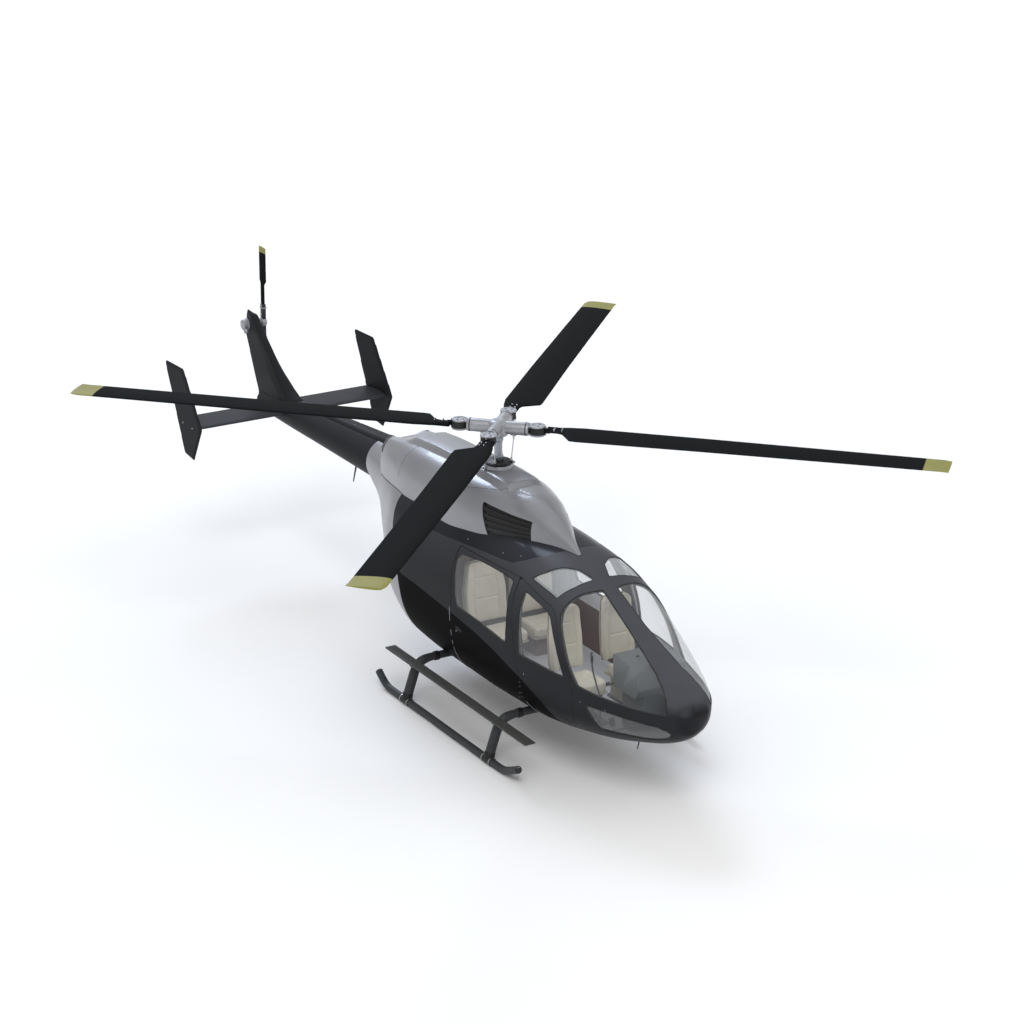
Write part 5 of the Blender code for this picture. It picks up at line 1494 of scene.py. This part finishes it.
def relax(values, mesh, rounds):
    """Average each point's value with its neighbours', which takes small wrinkles out."""
    edges = np.array([e.vertices[:] for e in mesh.edges])
    count = np.bincount(edges.ravel(), minlength=len(values))[:, None]
    for _ in range(rounds):
        total = np.zeros_like(values)
        np.add.at(total, edges[:, 0], values[edges[:, 1]])
        np.add.at(total, edges[:, 1], values[edges[:, 0]])
        values = 0.5 * values + 0.5 * total / np.maximum(count, 1)
    return values


def apply_all(ob):
    graph = bpy.context.evaluated_depsgraph_get()
    mesh = bpy.data.meshes.new_from_object(ob.evaluated_get(graph))
    ob.modifiers.clear()
    old = ob.data
    ob.data = mesh
    bpy.data.meshes.remove(old)


def groove(flat, lines, depth, width, front):
    """How far the points near the seam lines go inwards.
    flat gives each point's place on the pad's face."""
    away = distance(flat, [(line, False) for line in lines])
    return depth * np.exp(-(away / width) ** 2) * front


def build_pad(name, outline, low, high, turn, lines, across, bolster):
    """A stuffed pad: simulated, subdivided once, then pressed in along its seams
    and raised beyond across."""
    bm = plate_bmesh(outline, low, high, 0.02, 3)
    bmesh.ops.recalc_face_normals(bm, faces=bm.faces)
    mesh = bpy.data.meshes.new(name)
    bm.to_mesh(mesh)
    bm.free()
    ob = puffed(new_object(name, mesh))
    mod = ob.modifiers.new("smooth", "SUBSURF")
    mod.levels = 1
    mod.render_levels = 1
    apply_all(ob)
    p = np.array([v.co[:] for v in ob.data.vertices])
    n = np.array([v.normal[:] for v in ob.data.vertices])
    front = np.clip(n[:, 2] * 1.5, 0, 1)
    amount = groove(p[:, :2], lines, 0.012, 0.010, front)
    p[:, 2] += bolster * front * ramp(np.abs(p[:, 0]), across, across * 1.45) - amount
    ob.data.vertices.foreach_set("co", p.ravel())
    ob.data.polygons.foreach_set("use_smooth", np.full(len(ob.data.polygons), True))
    ob.data.transform(turn)
    ob.data.update()
    return ob


# width, half width of the back's top, height of the back, depth, y of the back, height of the cushion, x
SEATS = {
    "front": (0.487, 0.205, 0.845, 0.52, -2.34, 1.18, FRONT_SEAT_X),
    "rear": (0.64, 0.255, 0.845, 0.50, -0.36, 1.10, 0.34),
}


def build_seats():
    for kind, (width, wide_top, tall, deep, y, top, x) in SEATS.items():
        back, cushion = seat_forms(width - 0.03, wide_top, tall - 0.02, deep - 0.02)
        lean = math.radians(6)
        up = Matrix(((1, 0, 0, 0), (0, 0, -1, 0), (0, 1, 0, 0), (0, 0, 0, 1)))
        back_turn = Matrix.Translation((0, y + 0.075, top - 0.015)) @ Matrix.Rotation(-lean, 4, "X") @ up
        flat_turn = Matrix.Translation((0, y - 0.02, top - 0.14))
        inner = width * 0.27
        seams = [[(-inner, 0.06), (-inner * 1.02, 0.40), (-inner * 0.80, 0.76)],
                 [(inner, 0.06), (inner * 1.02, 0.40), (inner * 0.80, 0.76)],
                 [(-inner, 0.33), (0, 0.325), (inner, 0.33)],
                 [(-inner * 0.9, 0.60), (0, 0.605), (inner * 0.9, 0.60)]]
        back_pad = build_pad(f"{kind}_back", back, -0.030, 0.035, back_turn,
                             [spline(s, 0.02, False) for s in seams], inner, 0.024)
        seams = [[(-inner, -0.02), (-inner, -deep + 0.06)], [(inner, -0.02), (inner, -deep + 0.06)],
                 [(-inner, -deep * 0.5), (inner, -deep * 0.5)]]
        seat_pad = build_pad(f"{kind}_pad", cushion, 0.02, 0.115, flat_turn, seams, inner, 0.014)
        for side_name, side in SIDES.items():
            frame_form = Form()
            hull_x = x * side
            pan = rounded([(-width / 2 + 0.02, -deep), (width / 2 - 0.02, -deep), (width / 2 - 0.02, 0.06),
                           (-width / 2 + 0.02, 0.06)], 0.04, 0.03)
            frame_form.plate(pan, top - 0.150, top - 0.126, 0, 0.006, Matrix.Translation((hull_x, y, 0)))
            box_half, box_front = (0.25, -0.44) if kind == "rear" else (0.13, -0.38)
            base = [(-box_half, box_front), (box_half, box_front), (box_half, 0.05), (-box_half, 0.05)]
            frame_form.plate(rounded(base, 0.03, 0.03), FLOOR_TOP + 0.0004, top - 0.148,
                             1 if kind == "rear" else 0, 0.0, Matrix.Translation((hull_x, y, 0)))
            frame_form.plate(rounded([(-0.16, -0.42), (0.16, -0.42), (0.16, 0.08), (-0.16, 0.08)], 0.03,
                                     0.03),
                             FLOOR_TOP + 0.0004, FLOOR_TOP + 0.02, 1, 0.004,
                             Matrix.Translation((hull_x, y, 0)))
            shell = [(q[0] * 0.98, q[1] * 0.985) for q in back]
            frame_form.plate(shell, -0.048, -0.036, 0, 0.003,
                             Matrix.Translation((hull_x, 0, 0)) @ back_turn)
            foot = BROWN if kind == "rear" else DARK_METAL
            frame_form.make(f"{kind}_seat_shell_{side_name}", [SEAT_SHELL, foot], "airframe",
                            f"{kind}_seat_{side_name}", "seat_cream")
            for pad, label in ((back_pad, "back"), (seat_pad, "cushion")):
                ob = new_object(f"{kind}_{label}_{side_name}", pad.data.copy())
                ob.data.transform(Matrix.Translation((hull_x, 0, 0)))
                ob.data.materials.clear()
                ob.data.materials.append(CREAM)
                attach(ob, "airframe", ())
        for pad in (back_pad, seat_pad):
            bpy.data.objects.remove(pad)


def build_cabin():
    # floor and bulkhead keep their solids and get real finishes
    for node, mat in (("cabin_floor", CARPET), ("rear_bulkhead", BROWN), ("door_pillar_right", RIM),
                      ("door_pillar_left", RIM), ("engine_block", DARK_METAL),
                      ("main_gearbox", DARK_METAL)):
        paint_node(node, mat)
    form = Form()
    for side in (-1, 1):
        mat = rounded([(-0.14, -3.02), (0.14, -3.02), (0.14, -2.62), (-0.14, -2.62)], 0.04, 0.03)
        form.plate(mat, FLOOR_TOP + 0.0006, FLOOR_TOP + 0.008, 0, 0.002,
                   Matrix.Translation((side * 0.34, 0, 0)))
    form.make("floor_mats", [BROWN], "airframe", (), "carpet", 60)
    form = Form()
    outline = rounded([(-3.10, 1.665), (-3.615, 1.615), (-3.655, 1.36), (-3.60, 1.255), (-3.13, 1.255)],
                      0.035, 0.015)
    form.plate([(a, b) for a, b in outline], -0.245, 0.445, 0, 0.010, SIDE_ON, 3)
    # the column under the panel takes the darker copy of the panel grey: painted shade
    column = rounded([(-3.60, 1.27), (-3.51, 0.86), (-3.32, FLOOR_TOP + 0.0006),
                      (-3.13, FLOOR_TOP + 0.0006), (-3.13, 1.27)],
                     0.02, 0.02)
    form.plate(column, -0.115, 0.315, 1, 0.006, SIDE_ON)
    build_panel_face(form)
    form.make("panel_box", [PANEL_TOP, PANEL_SHADED_COPY, SCREEN, KNOB, STEEL, PANEL_FACE], "airframe",
              "instrument_panel", "grey_trim")
    for side_name, side in SIDES.items():
        seat_x = side * FRONT_SEAT_X
        form = Form()
        points = [(seat_x, -3.03, FLOOR_TOP + 0.004), (seat_x, -3.04, 0.90), (seat_x, -3.02, 1.10),
                  (seat_x, -2.93, 1.25), (seat_x, -2.86, 1.38), (seat_x, -2.84, 1.48)]
        form.tube(spline(points, 0.03, False), 0.011, 0, 16)
        form.tube([(seat_x, -2.842, 1.47), (seat_x, -2.84, 1.49), (seat_x, -2.835, 1.54),
                   (seat_x, -2.832, 1.59), (seat_x, -2.832, 1.60)], [0.012, 0.017, 0.0155, 0.017, 0.010],
                   1, 20)
        form.lathe([(0.050, 0.0), (0.046, 0.012), (0.030, 0.035), (0.026, 0.050), (0.020, 0.06),
                    (0.014, 0.085), (0.0, 0.086)],
                   Matrix.Translation((seat_x, -3.03, FLOOR_TOP + 0.0006)), 1, 28)
        form.box((-0.010, -0.006, -0.01), (0.010, 0.010, 0.012), 2, 0.003,
                 Matrix.Translation((seat_x, -2.856, 1.575)))
        form.make(f"cyclic_{side_name}", [STICK, RUBBER, STEEL], "airframe", f"control_stick_{side_name}",
                  "dark_metal")
        form = Form()
        # pedals and the collective lever beside the seat
        for dx in (-0.09, 0.09):
            form.tube([(seat_x + dx, -3.46, 0.84), (seat_x + dx, -3.47, 0.89), (seat_x + dx, -3.45, 0.94)],
                      0.008, 0, 12)
            form.box((-0.035, -0.006, -0.05), (0.035, 0.006, 0.05), 1, 0.004,
                     Matrix.Translation((seat_x + dx, -3.445, 0.95))
                     @ Matrix.Rotation(math.radians(-25), 4, "X"))
        form.rod((0.312 if side > 0 else -0.112, -3.46, 0.84), (side * 0.49, -3.46, 0.84), 0.012, 0, 16,
                 0.002)
        lever = spline([(side * 0.09, -2.30, 0.86), (side * 0.09, -2.50, 0.95),
                        (side * 0.09, -2.68, 1.06)], 0.03, False)
        form.tube(lever, 0.011, 0, 16)
        form.rod(lever[-1], (side * 0.09, -2.79, 1.127), 0.017, 1, 20, 0.004)
        form.box((side * 0.09 - 0.025, -2.33, FLOOR_TOP + 0.0006), (side * 0.09 + 0.025, -2.25, 0.88), 0,
                 0.004)
        form.make(f"pedals_{side_name}", [STICK, RUBBER], "airframe", (), "dark_metal")


def build_panel_face(form):
    """The aft face of the panel: two dark screens, round dials, switches and a radio stack below."""
    form.box((-0.225, -3.112, 1.285), (0.425, -3.100, 1.625), 5, 0.005)
    for x0, x1 in ((-0.19, 0.03), (0.17, 0.39)):
        form.box((x0, -3.103, 1.36), (x1, -3.094, 1.56), 3, 0.006)
        form.box((x0 + 0.018, -3.096, 1.380), (x1 - 0.018, -3.0925, 1.545), 2, 0.002)
        for k in range(6):
            form.box((x0 + 0.03 + 0.028 * k, -3.096, 1.366), (x0 + 0.046 + 0.028 * k, -3.092, 1.374), 4,
                     0.001)
    back = Matrix.Rotation(math.radians(-90), 4, "X")
    for x, z, r in ((0.10, 1.53, 0.034), (0.10, 1.44, 0.034), (0.10, 1.35, 0.026)):
        spot = Matrix.Translation((x, -3.101, z)) @ back
        form.lathe([(r, 0), (r, 0.006), (r * 0.90, 0.009), (r * 0.86, 0.006), (0, 0.006)], spot, 3, 32)
        form.lathe([(r * 0.84, 0.0055), (r * 0.84, 0.0068), (0, 0.0068)], spot, 2, 32)
    for k in range(12):
        form.box((-0.20 + 0.052 * k, -3.102, 1.305), (-0.188 + 0.052 * k, -3.086, 1.325), 4, 0.002)
    for z in (1.19, 1.10, 1.01, 0.93):
        form.box((-0.085, -3.136, z - 0.034), (0.285, -3.122, z + 0.034), 3, 0.004)
        form.box((-0.05, -3.124, z - 0.016), (0.13, -3.1195, z + 0.020), 2, 0.002)
        for x in (0.17, 0.22, 0.262):
            form.lathe([(0.013, 0), (0.013, 0.014), (0.010, 0.017), (0, 0.017)],
                       Matrix.Translation((x, -3.122, z)) @ back, 3, 20)
    # the small dark knob on top
    form.lathe([(0.020, 0), (0.022, 0.004), (0.022, 0.012), (0.014, 0.020), (0, 0.022)],
               Matrix.Translation((-0.02, -3.30, 1.640)), 3, 24)


def paint_node(node, mat):
    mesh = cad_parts[node].data
    mesh.materials.clear()
    mesh.materials.append(mat)


def build_rest():
    for side_name in SIDES:
        for node, mat in ((f"intake_grille_{side_name}", BLACK_METAL),
                          (f"exhaust_{side_name}", EXHAUST_STEEL)):
            paint_node(node, mat)
    for node in ("belly_antenna", "boom_antenna"):
        paint_node(node, RUBBER)


BLADE = material("blade_composite", (0.0072, 0.0080, 0.0084), 0.60, 0.0, 0.0, 6.0, 0.08, 0.06, 0.05, 700,
                 level=0.015)
TIP_YELLOW = material("blade_tip_yellow", (0.245, 0.235, 0.055), 0.50, 0.0, 0.0, 8.0, 0.06, 0.06, 0.05,
                      500, level=0.2)
HUB_GREY = material("hub_grey", (0.325, 0.33, 0.35), 0.38, 0.45, 0.0, 14.0, 0.06, 0.06, 0.04, 300)
MAST_GREY = material("mast_steel", (0.28, 0.30, 0.34), 0.30, 0.8, 0.0, 14.0, 0.06, 0.06, 0.03, 300)
STEEL = material("bright_steel", (0.45, 0.45, 0.45), 0.28, 0.95, 0.0, 30.0, 0.06, 0.08, 0.03, 500)
DARK_METAL = material("dark_metal", (0.035, 0.035, 0.037), 0.42, 0.6, 0.0, 18.0, 0.10, 0.08, 0.05, 300)
BLACK_METAL = material("black_metal", (0.010, 0.010, 0.011), 0.45, 0.3, 0.0, 18.0, 0.10, 0.08, 0.05, 300)
EXHAUST_STEEL = material("exhaust_steel", (0.10, 0.085, 0.075), 0.42, 0.85, 0.0, 9.0, 0.25, 0.10, 0.05, 300)
TAIL_PAINT = material("tail_paint", (0.022, 0.0225, 0.025), 0.42, 0.0, 0.0, 3.0, 0.06, 0.05, 0.02, 500,
                      level=0.02)
# a lighter copy of the tail paint for the stabilizer, painted light standing for its lit top; its underside
# gets it too
STAB_LIT_COPY = material("stabilizer_lit_copy", (0.040, 0.041, 0.046), 0.42, 0.0, 0.0, 3.0, 0.06, 0.05, 0.02, 500,
                    level=0.03)
SKID_PAINT = material("skid_paint", (0.034, 0.037, 0.040), 0.42, 0.0, 0.0, 10.0, 0.08, 0.06, 0.03, 400,
                      level=0.25)
STEP_PAINT = material("step_paint", (0.045, 0.045, 0.042), 0.5, 0.0, 0.0, 10.0, 0.08, 0.06, 0.05, 400,
                      level=0.3)
TREAD = material("step_tread", (0.055, 0.055, 0.050), 0.75, 0.0, 0.0, 60.0, 0.20, 0.08, 0.6, 900)
CREAM = material("seat_leather", (0.60, 0.57, 0.465), 0.62, 0.0, 0.0, 7.0, 0.06, 0.06, 0.30, 420,
                 sheen=0.15)
SEAT_SHELL = material("seat_shell", (0.34, 0.32, 0.26), 0.55, 0.0, 0.0, 9.0, 0.06, 0.05, 0.15, 300)
CARPET = material("floor_carpet", (0.45, 0.46, 0.49), 0.95, 0.0, 0.0, 90.0, 0.12, 0.03, 0.6, 700, sheen=0.1)
# the panel box's grey and a darker copy of it for the column under the box: the darker copy is painted
# shade
PANEL_TOP = material("panel_top", (0.135, 0.148, 0.152), 0.62, 0.0, 0.0, 9.0, 0.05, 0.05, 0.25, 500)
PANEL_SHADED_COPY = material("panel_shaded_copy", (0.085, 0.095, 0.10), 0.62, 0.0, 0.0, 9.0, 0.05, 0.05, 0.25, 500)
PANEL_FACE = material("panel_face", (0.045, 0.048, 0.050), 0.60, 0.0, 0.0, 9.0, 0.05, 0.05, 0.25, 500)
SCREEN = material("panel_screen", (0.010, 0.014, 0.020), 0.10, 0.0, 0.5, 9.0, 0.20, 0.03, 0.0, 500)
KNOB = material("black_knob", (0.015, 0.015, 0.016), 0.55, 0.0, 0.0, 30.0, 0.10, 0.05, 0.10, 500)
STICK = material("stick_paint", (0.045, 0.048, 0.050), 0.45, 0.2, 0.0, 20.0, 0.08, 0.06, 0.03, 400)


# Stage and camera
FLOOR_RADIUS = 600
WORLD_LIGHT = 0.62
WHITE = (1, 1, 1)
# suns: where each comes from, its strength, its spread in degrees and its colour
SUNS = [("key", (-6, -9, 13), 1.05, 32, WHITE), ("fill", (9, -5, 8), 0.35, 45, WHITE),
        ("back", (3, 10, 8), 1.1, 22, (0.72, 0.82, 1.0))]
# the two soft lamps under the cabin's ceiling
CABIN_LAMP = (0.35, MAST_Y - 1.5, 2.15)
CABIN_LAMP_POWER = 8
CABIN_LAMP_SIZE = 0.3
# the camera: place, then yaw, pitch and roll in degrees,
# and the focal length in pixels of the 1024-pixel picture
CAMERA_AT = (-18.7806, -31.7839 + MAST_Y, 16.0779)
CAMERA_TURN = (30.85002, -20.32337, 0.31721)
FOCAL_PIXELS = 3122.484
PICTURE_PIXELS = 1024
SENSOR = 36.0


def new_lamp(name, kind, power, place):
    lamp = new_object(name, bpy.data.lights.new(name, kind))
    lamp.data.energy = power
    lamp.location = place
    return lamp


def build_stage():
    pale = material("pale_floor", (0.94, 0.94, 0.94), 0.8, 0.0, 0.0, 0.4, 0.01, 0.03, 0.02, 60)
    mesh = bpy.data.meshes.new("floor")
    bm = bmesh.new()
    bmesh.ops.create_circle(bm, cap_ends=True, segments=96, radius=FLOOR_RADIUS)
    bm.to_mesh(mesh)
    bm.free()
    mesh.materials.append(pale)
    floor = new_object("floor", mesh)
    floor.location.z = -0.001
    world = bpy.data.worlds.new("studio")
    world.use_nodes = True
    world.node_tree.nodes["Background"].inputs["Color"].default_value = (1, 1, 1, 1)
    world.node_tree.nodes["Background"].inputs["Strength"].default_value = WORLD_LIGHT
    bpy.context.scene.world = world
    for name, place, power, spread, color in SUNS:
        lamp = new_lamp(name, "SUN", power, place)
        lamp.data.angle = math.radians(spread)
        lamp.data.color = color
        lamp.rotation_mode = "QUATERNION"
        lamp.rotation_quaternion = (-Vector(place)).to_track_quat("-Z", "Y")
    for side in (-1, 1):
        lamp = new_lamp("cabin_light", "POINT", CABIN_LAMP_POWER, (side * CABIN_LAMP[0], *CABIN_LAMP[1:]))
        lamp.data.shadow_soft_size = CABIN_LAMP_SIZE


def build_camera():
    yaw, pitch, roll = (math.radians(a) for a in CAMERA_TURN)
    ahead = Vector((math.sin(yaw) * math.cos(pitch), math.cos(yaw) * math.cos(pitch), math.sin(pitch)))
    right = Vector((math.cos(yaw), -math.sin(yaw), 0))
    up = right.cross(ahead)
    rolled_right = right * math.cos(roll) + up * math.sin(roll)
    rolled_up = up * math.cos(roll) - right * math.sin(roll)
    data = bpy.data.cameras.new("camera")
    data.sensor_width = SENSOR
    data.lens = FOCAL_PIXELS / PICTURE_PIXELS * SENSOR
    data.clip_end = 2000
    camera = new_object("camera", data)
    turn = Matrix((rolled_right, rolled_up, -ahead)).transposed()
    camera.matrix_world = Matrix.Translation(CAMERA_AT) @ turn.to_4x4()
    bpy.context.scene.camera = camera


bpy.context.scene.view_settings.view_transform = "Standard"
build_stage()
build_camera()
build_hull()
build_doors()
build_glass()
build_cowl()
build_seals()
build_trim()
build_back_wall()
build_spine()
build_main_blades()
build_hub()
build_swashplates()
build_tail()
build_gear()
build_seats()
build_cabin()
build_rest()
shift_all()
